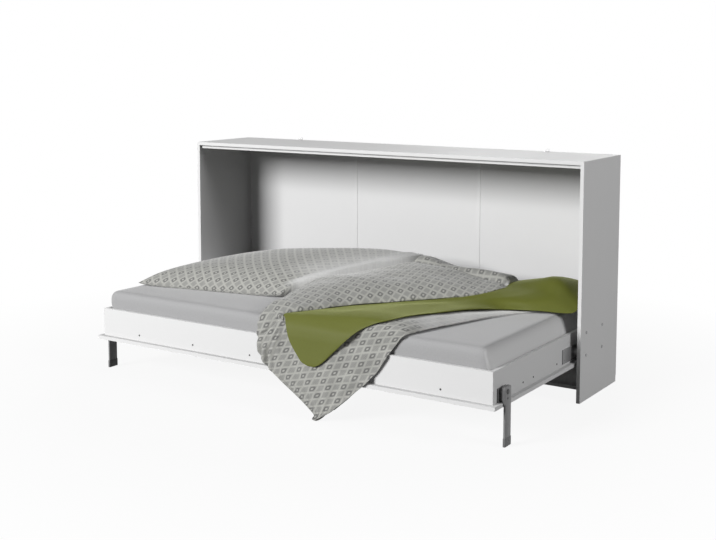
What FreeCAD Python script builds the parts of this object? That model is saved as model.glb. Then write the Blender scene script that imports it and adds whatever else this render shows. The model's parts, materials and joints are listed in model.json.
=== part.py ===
import FreeCAD
import Part
import math
import os
from FreeCAD import Placement, Rotation, Vector

# Folding bed that lies along a wall: a white board cabinet with a bed box that swings
# up into it about two pins.  The underside of the bed box is the cabinet's door.
# X runs along the bed, +Y points to the wall, Z is up, and the origin is on the floor
# under the middle of the open bed.  All sizes are millimetres.

SIZES = {
    # Cabinet boards
    "board": 16,
    "cabinet_width": 2135,
    "cabinet_depth": 424,
    "cabinet_height": 1040,
    "back_thickness": 3,
    "strip_width": 18,
    "strip_thickness": 1.2,
    "strip_web": 2,
    "stop_depth": 100,
    "stop_gap": 0.5,
    "bottom_setback": 100,
    "bottom_height": 29,
    "dowel_diameter": 8,
    "dowel_length": 24,
    "dowel_in_face": 11,
    "dowel_clearance": 0.1,
    "dowel_inset": 40,
    "dowel_spread": 60,
    # Wall brackets on the rear edge of the top
    "bracket_spacing": 1420,
    "bracket_width": 22,
    "bracket_depth": 24,
    "bracket_rise": 12,
    "bracket_thickness": 2,
    "wall_hole": 5,
    # Bed box and the door under it
    "fitting_space": 31.5,
    "pivot_depth": 56,
    "bed_tail": 207,
    "bed_wall": 128,
    "door_underside": 156,
    "door_overhang": 19,
    "door_lip": 22.5,
    "door_rear_inset": 7,
    "door_top_gap": 4.5,
    # Slatted base
    "ledger_width": 25,
    "ledger_height": 30,
    "ledger_lift": 11,
    "slat_width": 70,
    "slat_thickness": 10,
    "slat_end_gap": 2,
    # Swing fittings, placed from the pivot
    "fitting_plate": 5,
    "plate_margin": 20,
    "bolt_front": 5.5,
    "bolt_rear": 186.5,
    "bolt_low": 11,
    "bolt_high": 88,
    "bolt_diameter": 6,
    "bolt_clearance": 0.1,
    "bolt_head_diameter": 13,
    "bolt_head_height": 2.5,
    "bed_plate_front": 140,
    "bed_plate_length": 270,
    "bed_plate_height": 61,
    "bed_plate_drop": 27,
    "plate_screw_inset": 14,
    "pin_diameter": 16,
    "pin_clearance": 0.05,
    "bush_wall": 2,
    "hub_diameter": 36,
    "hub_side_gap": 1.5,
    # Gas springs, placed from the pivot
    "anchor_depth": 184,
    "anchor_rise": 148,
    "lug_depth": 64,
    "lug_drop": 16,
    "tube_diameter": 18,
    "tube_bore": 14,
    "tube_length": 156,
    "tube_wall_end": 6,
    "eye_diameter": 18,
    "eye_thickness": 10,
    "eye_neck": 8,
    "eye_gap": 3,
    "stud_diameter": 8,
    "stud_head_diameter": 12,
    "stud_head_height": 2,
    "rod_diameter": 8,
    "rod_clearance": 0.05,
    "rod_stroke": 88.5,
    "rod_engaged": 18,
    "piston_length": 10,
    "lug_gap": 0.5,
    # Hinged legs
    "leg_pivot_inset": 70,
    "leg_pivot_rise": 41,
    "leg_door_gap": 1.5,
    "leg_thickness": 8,
    "leg_width": 48,
    "leg_head_width": 56,
    "leg_head_rise": 21,
    "leg_head_corner": 8,
    "leg_head_drop": 31,
    "leg_neck": 20,
    "leg_drum_diameter": 40,
    "leg_pin_diameter": 12,
    "leg_pin_head_diameter": 20,
    "leg_pin_head_height": 1.8,
    "leg_side_gap": 0.5,
    "leg_bracket_thickness": 4,
    "leg_bracket_width": 74,
    "leg_bracket_height": 54,
    "leg_bracket_lift": 2,
    "bracket_screw_inset": 9,
    "foot_height": 34,
    "foot_sole": 4,
    "foot_wall": 2,
    "foot_side_wall": 0.8,
    # Wood screws
    "screw_diameter": 4,
    "screw_length": 30,
    "screw_clearance": 0.1,
    "screw_head_diameter": 8,
    "screw_head_height": 0.8,
    "plate_screw_length": 18,
    # Mattress and bedding
    "mattress_end_gap": 4,
    "mattress_side_gap": 2,
    "mattress_thickness": 155,
    "mattress_corner": 60,
    "pillow_length": 770,
    "pillow_depth": 640,
    "pillow_thickness": 160,
    "pillow_turn": 5,
    "pillow_head_gap": 5,
    "pillow_rear_gap": 30,
    "pillow_draw": 26,
    "pillow_swell": 60,
    "cloth_gap": 0.4,
    "cloth_roll": 30,
    "throw_thickness": 6,
    "throw_edge_gap": 5,
    "drape_out": 89,
    "drape_thickness": 8,
    "drape_floor_gap": 8,
    "drape_rim_gap": 8,
    "drape_lip_gap": 14,
    "tongue_tip_rise": 30,
}

SLAT_COUNT = 12
# Screw places: along the bed from its middle, and along the bed ends behind the bed's front
# and before the swing fitting's plate
FRONT_SCREWS = (146, 470, 795)
SIDE_SCREWS = (264, 359)
PLATE_SIDE_SCREW = 54

doc = FreeCAD.newDocument("folding_bed")
sheet = doc.addObject("Spreadsheet::Sheet", "Sizes")
for row, (alias, number) in enumerate(SIZES.items(), 1):
    sheet.set(f"A{row}", alias)
    sheet.set(f"B{row}", str(number))
    sheet.setAlias(f"B{row}", alias)
doc.recompute()


class Cells:
    """Gives each driving dimension as text for an expression."""

    def __getattr__(self, alias):
        if alias not in SIZES:
            raise AttributeError(alias)
        return f"Sizes.{alias}"


s = Cells()
nodes = []


def mm(expression):
    """Value of an expression, for the shapes that are set from code."""
    return float(sheet.evalExpression(expression))


# Places worked out from the driving dimensions
INNER = f"({s.cabinet_width} / 2 - {s.board})"
CARCASS_DEPTH = f"({s.cabinet_depth} - {s.back_thickness})"
TOP_UNDERSIDE = f"({s.cabinet_height} - {s.board})"
# The swing puts the door's outer face flush with the cabinet and its lip under the top
PIVOT_Z = f"({s.door_underside} + {s.pivot_depth})"
BED_REACH = f"({TOP_UNDERSIDE} - {s.door_top_gap} - {s.door_lip} - {PIVOT_Z} - {s.pivot_depth})"
BED_DEPTH = f"({BED_REACH} + {s.bed_tail})"
FRONT = f"(({BED_REACH} + {s.drape_out} - {s.cabinet_depth}) / 2)"
REAR = f"({FRONT} + {s.cabinet_depth})"
PIVOT_Y = f"({FRONT} + {s.pivot_depth})"
BED_BASE = f"({s.door_underside} + {s.board})"
BED_RIM = f"({BED_BASE} + {s.bed_wall})"
BED_END = f"({INNER} - {s.fitting_space})"
BED_INNER = f"({BED_END} - {s.board})"
BED_FRONT = f"({FRONT} - {BED_REACH})"
BED_WELL = f"({BED_FRONT} + {s.board})"
WELL_DEPTH = f"({BED_DEPTH} - 2 * {s.board})"
DOOR_END = f"({BED_END} + {s.door_overhang})"
LEDGER_Z = f"({BED_BASE} + {s.ledger_lift})"
SLAT_Z = f"({LEDGER_Z} + {s.ledger_height})"
SCREW_Z = f"({LEDGER_Z} + {s.ledger_height} / 2)"
MATTRESS_Z = f"({SLAT_Z} + {s.slat_thickness})"
MATTRESS_TOP = f"({MATTRESS_Z} + {s.mattress_thickness})"
MATTRESS_Y = f"({BED_WELL} + {s.mattress_side_gap})"
MATTRESS_WIDTH = f"({WELL_DEPTH} - 2 * {s.mattress_side_gap})"
FITTING_X = f"({INNER} - {s.fitting_plate})"
BOLT_FRONT = f"({PIVOT_Y} + {s.bolt_front})"
BOLT_REAR = f"({PIVOT_Y} + {s.bolt_rear})"
BOLT_LOW = f"({PIVOT_Z} - {s.bolt_low})"
BOLT_HIGH = f"({PIVOT_Z} + {s.bolt_high})"
BED_PLATE_X = f"({BED_END} + {s.fitting_plate})"
BED_PLATE_Y = f"({PIVOT_Y} - {s.bed_plate_front})"
BED_PLATE_Z = f"({PIVOT_Z} - {s.bed_plate_drop})"
ANCHOR_Y = f"({PIVOT_Y} + {s.anchor_depth})"
ANCHOR_Z = f"({PIVOT_Z} + {s.anchor_rise})"
LUG_Y = f"({PIVOT_Y} + {s.lug_depth})"
LUG_Z = f"({PIVOT_Z} - {s.lug_drop})"
SPRING_X = f"(({BED_PLATE_X} + {FITTING_X}) / 2)"
SPRING_LENGTH = f"hypot({LUG_Y} - {ANCHOR_Y}; {LUG_Z} - {ANCHOR_Z})"
SPRING_TILT = f"atan2({ANCHOR_Y} - {LUG_Y}; {LUG_Z} - {ANCHOR_Z})"
TUBE_START = f"({s.eye_diameter} / 2 + {s.eye_gap})"
LEG_Y = f"({BED_FRONT} + {s.leg_pivot_inset})"
LEG_Z = f"({BED_BASE} + {s.leg_pivot_rise})"
LEG_X = f"({DOOR_END} + {s.leg_door_gap})"
LEG_REAR = f"({LEG_Y} + {s.leg_head_width} / 2)"
LEG_BRACKET_X = f"({BED_END} + {s.leg_bracket_thickness})"
SIDES = (("left", -1), ("right", 1))
FLAT_ALONG = {
    "x": Rotation(Vector(0, 1, 0), 90),
    "y": Rotation(Vector(1, 0, 0), -90),
    "z": Rotation(),
}


def mirrored(sign, start, length):
    """Start along X of a span that is given for the right-hand end of the bed."""
    if sign > 0:
        return start
    return f"-({start}) - ({length})"


def place(piece, x, y, z):
    for axis, value in zip("xyz", (x, y, z)):
        piece.setExpression(f"Placement.Base.{axis}", str(value))


def box(name, x, y, z):
    """Block from (start, length) pairs along X, Y and Z."""
    piece = doc.addObject("Part::Box", name)
    for size, (start, length) in zip(("Length", "Width", "Height"), (x, y, z)):
        piece.setExpression(size, str(length))
    place(piece, x[0], y[0], z[0])
    return piece


def end_box(name, sign, x, y, z):
    """Block at one end of the bed, with X given for the right-hand end."""
    return box(name, (mirrored(sign, *x), x[1]), y, z)


def cylinder(name, axis, diameter, length, base):
    """Round bar that starts at base and runs along +X, +Y or +Z."""
    piece = doc.addObject("Part::Cylinder", name)
    piece.Placement = Placement(Vector(), FLAT_ALONG[axis])
    piece.setExpression("Radius", f"({diameter}) / 2")
    piece.setExpression("Height", str(length))
    place(piece, *base)
    return piece


def end_cylinder(name, sign, diameter, x, y, z):
    """Bar along X at one end of the bed, with its (start, length) for the right-hand end."""
    return cylinder(name, "x", diameter, x[1], (mirrored(sign, *x), y, z))


def fuse(name, pieces):
    piece = doc.addObject("Part::MultiFuse", name)
    piece.Shapes = pieces
    piece.Refine = True
    return piece


def cut(name, base, tools):
    piece = doc.addObject("Part::Cut", name)
    piece.Base = base
    piece.Tool = tools[0] if len(tools) == 1 else group(f"{name}_tools", tools)
    return piece


def group(name, pieces):
    piece = doc.addObject("Part::Compound", name)
    piece.Links = pieces
    return piece


def solid(name, shape, placement=None):
    piece = doc.addObject("Part::Feature", name)
    piece.Shape = shape
    piece.Placement = placement or Placement()
    return piece


def node(name, piece):
    """Names a finished sub-part, which becomes one file."""
    piece.Label = name
    nodes.append(piece)
    return piece


def with_holes(name, blank, tools):
    return node(name, cut(f"{name}_drilled", blank, tools) if tools else blank)


def corner_places(length, height, inset):
    """Places near the four corners of a plate, each with a tag of its own."""
    for along_tag, along in (("front", inset), ("rear", f"{length} - {inset}")):
        for up_tag, up in (("low", inset), ("high", f"{height} - {inset}")):
            yield f"{along_tag}_{up_tag}", along, up


# Cabinet: joinery first, because the boards are drilled for it
DOWEL_HOLE = f"({s.dowel_diameter} + 2 * {s.dowel_clearance})"


def dowel_places():
    """Each dowel as (axis, base point) text, with the boards that it joins."""
    depths = (s.dowel_inset, f"{s.cabinet_depth} / 2", f"{s.cabinet_depth} - {s.dowel_inset}")
    for side, sign in SIDES:
        for step, depth in enumerate(depths):
            x = f"{sign} * ({s.cabinet_width} - {s.board}) / 2"
            z = f"{TOP_UNDERSIDE} + {s.dowel_in_face} - {s.dowel_length}"
            yield f"{side}_top_{step}", "z", (x, f"{FRONT} + {depth}", z), (side, "top")
        x = mirrored(sign, f"{INNER} + {s.dowel_in_face} - {s.dowel_length}", s.dowel_length)
        stop_y = f"{FRONT} + {s.board} + {s.stop_gap} + {s.stop_depth} / 2"
        stop_z = f"{TOP_UNDERSIDE} - {s.board} / 2"
        bottom_y = f"{FRONT} + ({s.bottom_setback} + {CARCASS_DEPTH}) / 2"
        bottom_z = f"{s.bottom_height} + {s.board} / 2"
        for step, way in enumerate((-1, 1)):
            y = f"{stop_y} + {way} * {s.dowel_spread} / 2"
            yield f"{side}_stop_{step}", "x", (x, y, stop_z), (side, "stop")
            y = f"{bottom_y} + {way} * {s.dowel_spread}"
            yield f"{side}_low_{step}", "x", (x, y, bottom_z), (side, "bottom")


dowels = []
dowel_holes = {"left": [], "right": [], "top": [], "stop": [], "bottom": []}
for name, axis, base, boards in dowel_places():
    dowels.append(cylinder(f"dowel_{name}", axis, s.dowel_diameter, s.dowel_length, base))
    for board in boards:
        hole = cylinder(f"hole_{name}_{board}", axis, DOWEL_HOLE, s.dowel_length, base)
        dowel_holes[board].append(hole)
node("carcass_dowels", group("dowel_group", dowels))

BOLT_HOLE = f"({s.bolt_diameter} + 2 * {s.bolt_clearance})"
BOLT_REACH = f"({s.board} + {s.fitting_plate})"
BOLT_SPAN = (FITTING_X, BOLT_REACH)
BOLT_CORNERS = [(y, z) for y in (BOLT_FRONT, BOLT_REAR) for z in (BOLT_LOW, BOLT_HIGH)]


def bolt_holes(name, sign):
    return [
        end_cylinder(f"{name}_hole_{index}", sign, BOLT_HOLE, BOLT_SPAN, y, z)
        for index, (y, z) in enumerate(BOLT_CORNERS)
    ]


for side, sign in SIDES:
    blank = end_box(
        f"{side}_side_blank", sign, (INNER, s.board), (FRONT, CARCASS_DEPTH), ("0", TOP_UNDERSIDE)
    )
    with_holes(f"{side}_side_panel", blank, dowel_holes[side] + bolt_holes(f"{side}_side", sign))

SCREW_HOLE = f"({s.screw_diameter} + 2 * {s.screw_clearance})"
BRACKET_Y = f"({REAR} - {s.bracket_depth})"
wall_bracket_screws = []
wall_bracket_holes = []
brackets = []
for side, sign in SIDES:
    x = f"{sign} * {s.bracket_spacing} / 2"
    across = (f"{x} - {s.bracket_width} / 2", s.bracket_width)
    flat = box(
        f"{side}_bracket_flat",
        across,
        (BRACKET_Y, s.bracket_depth),
        (s.cabinet_height, s.bracket_thickness),
    )
    upright = box(
        f"{side}_bracket_upright",
        across,
        (f"{REAR} - {s.bracket_thickness}", s.bracket_thickness),
        (s.cabinet_height, s.bracket_rise),
    )
    middle = f"{BRACKET_Y} + ({s.bracket_depth} - {s.bracket_thickness}) / 2"
    wall_z = f"{s.cabinet_height} + ({s.bracket_rise} + {s.bracket_thickness}) / 2"
    wall_hole = cylinder(f"{side}_wall_hole", "y", s.wall_hole, s.bracket_depth, (x, BRACKET_Y, wall_z))
    low = f"{TOP_UNDERSIDE} + {s.board} / 4"
    shank_length = f"({s.board} * 3 / 4 + {s.bracket_thickness})"
    hole = cylinder(f"{side}_bracket_hole", "z", SCREW_HOLE, shank_length, (x, middle, low))
    top_hole = cylinder(f"{side}_top_hole", "z", SCREW_HOLE, shank_length, (x, middle, low))
    wall_bracket_holes.append(top_hole)
    shape = fuse(f"{side}_bracket_shape", [flat, upright])
    brackets.append(cut(f"{side}_bracket_cut", shape, [wall_hole, hole]))
    shank = cylinder(f"{side}_bracket_shank", "z", s.screw_diameter, shank_length, (x, middle, low))
    seat = f"{s.cabinet_height} + {s.bracket_thickness}"
    head = cylinder(
        f"{side}_bracket_head", "z", s.screw_head_diameter, s.screw_head_height, (x, middle, seat)
    )
    wall_bracket_screws.append(fuse(f"{side}_bracket_screw", [shank, head]))
node("wall_brackets", group("bracket_group", brackets))
node("wall_bracket_screws", group("bracket_screw_group", wall_bracket_screws))

WHOLE_WIDTH = (f"-{s.cabinet_width} / 2", s.cabinet_width)
INNER_WIDTH = (f"-{INNER}", f"2 * {INNER}")
top_blank = box("top_blank", WHOLE_WIDTH, (FRONT, s.cabinet_depth), (TOP_UNDERSIDE, s.board))
with_holes("top_panel", top_blank, dowel_holes["top"] + wall_bracket_holes)
stop_blank = box(
    "stop_blank",
    INNER_WIDTH,
    (f"{FRONT} + {s.board} + {s.stop_gap}", s.stop_depth),
    (f"{TOP_UNDERSIDE} - {s.board}", s.board),
)
with_holes("top_stop_board", stop_blank, dowel_holes["stop"])
bottom_blank = box(
    "bottom_blank",
    INNER_WIDTH,
    (f"{FRONT} + {s.bottom_setback}", f"{CARCASS_DEPTH} - {s.bottom_setback}"),
    (s.bottom_height, s.board),
)
with_holes("bottom_board", bottom_blank, dowel_holes["bottom"])

# Back: three thin panels with a T-shaped strip over each joint
BACK_Y = f"({REAR} - {s.back_thickness})"
PANEL_WIDTH = f"(({s.cabinet_width} - 2 * {s.strip_web}) / 3)"
for index, name in enumerate(("left", "middle", "right")):
    start = f"-{s.cabinet_width} / 2 + {index} * ({PANEL_WIDTH} + {s.strip_web})"
    panel = box(
        f"back_{name}",
        (start, PANEL_WIDTH),
        (BACK_Y, s.back_thickness),
        (s.bottom_height, f"{TOP_UNDERSIDE} - {s.bottom_height}"),
    )
    node(f"back_panel_{name}", panel)
STRIP_Z = f"({s.bottom_height} + {s.board})"
strips = []
for side, sign in SIDES:
    middle = f"{sign} * ({PANEL_WIDTH} + {s.strip_web}) / 2"
    span = (STRIP_Z, f"{TOP_UNDERSIDE} - {STRIP_Z}")
    flange = box(
        f"{side}_strip_flange",
        (f"{middle} - {s.strip_width} / 2", s.strip_width),
        (f"{BACK_Y} - {s.strip_thickness}", s.strip_thickness),
        span,
    )
    web = box(
        f"{side}_strip_web",
        (f"{middle} - {s.strip_web} / 2", s.strip_web),
        (BACK_Y, s.back_thickness),
        span,
    )
    strips.append(fuse(f"{side}_strip", [flange, web]))
node("back_joint_strips", group("strip_group", strips))

# Swing fittings on the cabinet: plate, bolts, pivot pin and the gas spring's upper stud
hinge_bolts = []
for side, sign in SIDES:
    plate = end_box(
        f"{side}_fitting_blank",
        sign,
        (FITTING_X, s.fitting_plate),
        (f"{BOLT_FRONT} - {s.plate_margin}", f"{BOLT_REAR} - {BOLT_FRONT} + 2 * {s.plate_margin}"),
        (f"{BOLT_LOW} - {s.plate_margin}", f"{BOLT_HIGH} - {BOLT_LOW} + 2 * {s.plate_margin}"),
    )
    tongue = end_box(
        f"{side}_fitting_tongue",
        sign,
        (FITTING_X, s.fitting_plate),
        (f"{ANCHOR_Y} - {s.plate_margin}", f"2 * {s.plate_margin}"),
        (BOLT_HIGH, f"{ANCHOR_Z} - {BOLT_HIGH}"),
    )
    crown = end_cylinder(
        f"{side}_fitting_crown",
        sign,
        f"2 * {s.plate_margin}",
        (FITTING_X, s.fitting_plate),
        ANCHOR_Y,
        ANCHOR_Z,
    )
    shape = fuse(f"{side}_fitting_shape", [plate, tongue, crown])
    with_holes(f"{side}_hinge_plate", shape, bolt_holes(f"{side}_plate", sign))
    for index, at in enumerate(BOLT_CORNERS):
        shank = end_cylinder(f"{side}_bolt_{index}", sign, s.bolt_diameter, BOLT_SPAN, *at)
        head = end_cylinder(
            f"{side}_bolt_head_{index}",
            sign,
            s.bolt_head_diameter,
            (f"{s.cabinet_width} / 2", s.bolt_head_height),
            *at,
        )
        hinge_bolts.append(fuse(f"{side}_hinge_bolt_{index}", [shank, head]))
    pin_span = (f"{BED_END} + {s.hub_side_gap}", f"{FITTING_X} - {BED_END} - {s.hub_side_gap}")
    pin = end_cylinder(f"{side}_pin", sign, s.pin_diameter, pin_span, PIVOT_Y, PIVOT_Z)
    node(f"{side}_pivot_pin", pin)
    stud_end = f"({SPRING_X} - {s.eye_thickness} / 2 - {s.lug_gap})"
    stud_span = (stud_end, f"{FITTING_X} - {stud_end}")
    stud = end_cylinder(f"{side}_stud", sign, s.stud_diameter, stud_span, ANCHOR_Y, ANCHOR_Z)
    stud_head = end_cylinder(
        f"{side}_stud_head",
        sign,
        s.stud_head_diameter,
        (f"{stud_end} - {s.stud_head_height}", s.stud_head_height),
        ANCHOR_Y,
        ANCHOR_Z,
    )
    node(f"{side}_spring_stud", fuse(f"{side}_stud_shape", [stud, stud_head]))
node("hinge_bolts", group("hinge_bolt_group", hinge_bolts))

# Swing fittings on the bed: plate with the gas spring's lug, hub and bush
HUB_BORE = f"({s.pin_diameter} + 2 * ({s.pin_clearance} + {s.bush_wall} + {s.pin_clearance}))"
BUSH_OUTER = f"({s.pin_diameter} + 2 * ({s.pin_clearance} + {s.bush_wall}))"
BUSH_INNER = f"({s.pin_diameter} + 2 * {s.pin_clearance})"
HUB_LENGTH = f"({FITTING_X} - {s.hub_side_gap} - {BED_PLATE_X})"
plate_screws = []
end_holes = {"left": [], "right": []}
for side, sign in SIDES:
    span = (BED_END, s.fitting_plate)
    plate = end_box(
        f"{side}_bed_plate_blank",
        sign,
        span,
        (BED_PLATE_Y, s.bed_plate_length),
        (BED_PLATE_Z, s.bed_plate_height),
    )
    lug_reach = f"{SPRING_X} - {s.eye_thickness} / 2 - {s.lug_gap} - {BED_PLATE_X}"
    lug = end_cylinder(f"{side}_lug", sign, s.eye_neck, (BED_PLATE_X, lug_reach), LUG_Y, LUG_Z)
    bore = end_cylinder(f"{side}_plate_bore", sign, HUB_BORE, span, PIVOT_Y, PIVOT_Z)
    tools = [bore]
    places = corner_places(s.bed_plate_length, s.bed_plate_height, s.plate_screw_inset)
    for tag, along, up in places:
        at = (f"{BED_PLATE_Y} + {along}", f"{BED_PLATE_Z} + {up}")
        reach = (f"{BED_PLATE_X} - {s.plate_screw_length}", s.plate_screw_length)
        tag = f"{side}_{tag}"
        plate_screws.append(end_cylinder(f"plate_screw_{tag}", sign, s.screw_diameter, reach, *at))
        tools.append(end_cylinder(f"plate_hole_{tag}", sign, SCREW_HOLE, reach, *at))
        end_holes[side].append(end_cylinder(f"plate_pilot_{tag}", sign, SCREW_HOLE, reach, *at))
    with_holes(f"{side}_bed_plate", fuse(f"{side}_bed_plate_shape", [plate, lug]), tools)
    hub_span = (BED_PLATE_X, HUB_LENGTH)
    hub = end_cylinder(f"{side}_hub_blank", sign, s.hub_diameter, hub_span, PIVOT_Y, PIVOT_Z)
    hub_bore = end_cylinder(f"{side}_hub_bore", sign, HUB_BORE, hub_span, PIVOT_Y, PIVOT_Z)
    with_holes(f"{side}_pivot_hub", hub, [hub_bore])
    bush_span = (BED_END, f"{s.fitting_plate} + {HUB_LENGTH}")
    bush = end_cylinder(f"{side}_bush_blank", sign, BUSH_OUTER, bush_span, PIVOT_Y, PIVOT_Z)
    bush_bore = end_cylinder(f"{side}_bush_bore", sign, BUSH_INNER, bush_span, PIVOT_Y, PIVOT_Z)
    with_holes(f"{side}_pivot_bush", bush, [bush_bore])
node("bed_plate_screws", group("plate_screw_group", plate_screws))


# Gas springs, drawn along their own Z from the upper stud to the lug, then tilted
def along_spring(name, piece, sign):
    piece.Placement = Placement(Vector(), Rotation(Vector(1, 0, 0), 1))
    piece.setExpression("Placement.Rotation.Angle", SPRING_TILT)
    place(piece, f"{sign} * {SPRING_X}", ANCHOR_Y, ANCHOR_Z)
    return node(name, piece)


ROD_HOLE = f"({s.rod_diameter} + 2 * {s.rod_clearance})"
STUD_HOLE = f"({s.stud_diameter} + 2 * {s.rod_clearance})"
PISTON_DIAMETER = f"({s.tube_bore} - 2 * {s.rod_clearance})"
EYE_SPAN = f"-{s.eye_thickness} / 2"
for side, sign in SIDES:
    eye = cylinder(f"{side}_eye", "x", s.eye_diameter, s.eye_thickness, (EYE_SPAN, "0", "0"))
    neck = cylinder(f"{side}_neck", "z", s.eye_neck, TUBE_START, ("0", "0", "0"))
    tube = cylinder(f"{side}_tube", "z", s.tube_diameter, s.tube_length, ("0", "0", TUBE_START))
    eye_hole = cylinder(f"{side}_eye_hole", "x", STUD_HOLE, s.eye_thickness, (EYE_SPAN, "0", "0"))
    bore_base = ("0", "0", f"{TUBE_START} + {s.tube_wall_end}")
    bore_length = f"{s.tube_length} - 2 * {s.tube_wall_end}"
    bore = cylinder(f"{side}_bore", "z", s.tube_bore, bore_length, bore_base)
    guide = cylinder(f"{side}_guide", "z", ROD_HOLE, s.tube_length, bore_base)
    shape = fuse(f"{side}_tube_shape", [eye, neck, tube])
    hollow = fuse(f"{side}_tube_hollow", [bore, guide])
    along_spring(f"{side}_gas_tube", cut(f"{side}_tube_cut", shape, [eye_hole, hollow]), sign)
    rod_start = f"({TUBE_START} + {s.tube_length} - {s.rod_engaged} - {s.rod_stroke})"
    rod_base = ("0", "0", rod_start)
    rod = cylinder(f"{side}_rod", "z", s.rod_diameter, f"{SPRING_LENGTH} - {rod_start}", rod_base)
    piston = cylinder(f"{side}_piston", "z", PISTON_DIAMETER, s.piston_length, rod_base)
    socket_base = (EYE_SPAN, "0", SPRING_LENGTH)
    socket = cylinder(f"{side}_socket", "x", s.eye_diameter, s.eye_thickness, socket_base)
    along_spring(f"{side}_gas_rod", fuse(f"{side}_rod_shape", [rod, piston, socket]), sign)

# Hinged legs: bracket and pin on the bed, leg and foot that hang from the pin
LEG_PIN_HOLE = f"({s.leg_pin_diameter} + 2 * {s.pin_clearance})"
DRUM_X = f"({LEG_BRACKET_X} + {s.leg_side_gap})"
DRUM_LENGTH = f"({LEG_X} - {DRUM_X})"
LEG_SPAN = (LEG_X, s.leg_thickness)
leg_bracket_screws = []
for side, sign in SIDES:
    bracket_y = f"({LEG_Y} - {s.leg_bracket_width} / 2)"
    bracket_z = f"({BED_BASE} + {s.leg_bracket_lift})"
    plate = end_box(
        f"{side}_leg_plate",
        sign,
        (BED_END, s.leg_bracket_thickness),
        (bracket_y, s.leg_bracket_width),
        (bracket_z, s.leg_bracket_height),
    )
    tools = []
    places = corner_places(s.leg_bracket_width, s.leg_bracket_height, s.bracket_screw_inset)
    for tag, along, up in places:
        at = (f"{bracket_y} + {along}", f"{bracket_z} + {up}")
        reach = (f"{LEG_BRACKET_X} - {s.plate_screw_length}", s.plate_screw_length)
        tag = f"{side}_{tag}"
        leg_bracket_screws.append(end_cylinder(f"leg_screw_{tag}", sign, s.screw_diameter, reach, *at))
        tools.append(end_cylinder(f"leg_hole_{tag}", sign, SCREW_HOLE, reach, *at))
        end_holes[side].append(end_cylinder(f"leg_pilot_{tag}", sign, SCREW_HOLE, reach, *at))
    with_holes(f"{side}_leg_bracket", plate, tools)
    at = (LEG_Y, LEG_Z)
    head_start = f"{LEG_X} + {s.leg_thickness} + {s.leg_side_gap}"
    pin_span = (LEG_BRACKET_X, f"{head_start} - {LEG_BRACKET_X}")
    pin = end_cylinder(f"{side}_leg_pin_bar", sign, s.leg_pin_diameter, pin_span, *at)
    head_span = (head_start, s.leg_pin_head_height)
    head = end_cylinder(f"{side}_leg_pin_head", sign, s.leg_pin_head_diameter, head_span, *at)
    node(f"{side}_leg_pin", fuse(f"{side}_leg_pin_shape", [pin, head]))

    drum = end_cylinder(f"{side}_leg_drum", sign, s.leg_drum_diameter, (DRUM_X, DRUM_LENGTH), *at)
    neck_z = f"({LEG_Z} - {s.leg_head_drop})"
    head_front = f"({LEG_REAR} - {s.leg_head_width})"
    corner_z = f"({LEG_Z} + {s.leg_head_rise} - {s.leg_head_corner})"
    head_box = end_box(
        f"{side}_leg_head",
        sign,
        LEG_SPAN,
        (head_front, s.leg_head_width),
        (neck_z, f"{corner_z} - {neck_z}"),
    )
    crown = end_box(
        f"{side}_leg_crown",
        sign,
        LEG_SPAN,
        (f"{head_front} + {s.leg_head_corner}", f"{s.leg_head_width} - 2 * {s.leg_head_corner}"),
        (corner_z, s.leg_head_corner),
    )
    corners = [
        end_cylinder(f"{side}_leg_corner_{tag}", sign, f"2 * {s.leg_head_corner}", LEG_SPAN, y, corner_z)
        for tag, y in (
            ("front", f"{head_front} + {s.leg_head_corner}"),
            ("rear", f"{LEG_REAR} - {s.leg_head_corner}"),
        )
    ]
    strap = end_box(
        f"{side}_leg_strap",
        sign,
        LEG_SPAN,
        (f"{LEG_REAR} - {s.leg_width}", s.leg_width),
        (s.foot_sole, f"{neck_z} - {s.foot_sole}"),
    )
    # The head narrows to the strap over the neck
    neck = doc.addObject("Part::Wedge", f"{side}_leg_neck")
    for corner, value in (
        ("Xmin", "0"),
        ("Xmax", s.leg_thickness),
        ("X2min", "0"),
        ("X2max", s.leg_thickness),
        ("Ymin", "0"),
        ("Ymax", s.leg_neck),
        ("Zmin", "0"),
        ("Zmax", s.leg_width),
        ("Z2min", "0"),
        ("Z2max", s.leg_head_width),
    ):
        neck.setExpression(corner, value)
    # The wedge's own Y runs up the leg and its own Z runs to the front
    neck.Placement = Placement(Vector(), Rotation(Vector(1, 0, 0), 90))
    place(neck, mirrored(sign, *LEG_SPAN), LEG_REAR, f"{neck_z} - {s.leg_neck}")
    shape = fuse(f"{side}_leg_shape", [drum, crown, *corners, head_box, neck, strap])
    pin_hole = end_cylinder(
        f"{side}_leg_pin_hole", sign, LEG_PIN_HOLE, (DRUM_X, f"{DRUM_LENGTH} + {s.leg_thickness}"), *at
    )
    with_holes(f"{side}_leg", shape, [pin_hole])
    cap = end_box(
        f"{side}_foot_blank",
        sign,
        (f"{LEG_X} - {s.foot_side_wall}", f"{s.leg_thickness} + 2 * {s.foot_side_wall}"),
        (f"{LEG_REAR} - {s.leg_width} - {s.foot_wall}", f"{s.leg_width} + 2 * {s.foot_wall}"),
        ("0", s.foot_height),
    )
    pocket = end_box(
        f"{side}_foot_pocket",
        sign,
        LEG_SPAN,
        (f"{LEG_REAR} - {s.leg_width}", s.leg_width),
        (s.foot_sole, s.foot_height),
    )
    with_holes(f"{side}_leg_foot", cap, [pocket])
node("leg_bracket_screws", group("leg_screw_group", leg_bracket_screws))

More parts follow.
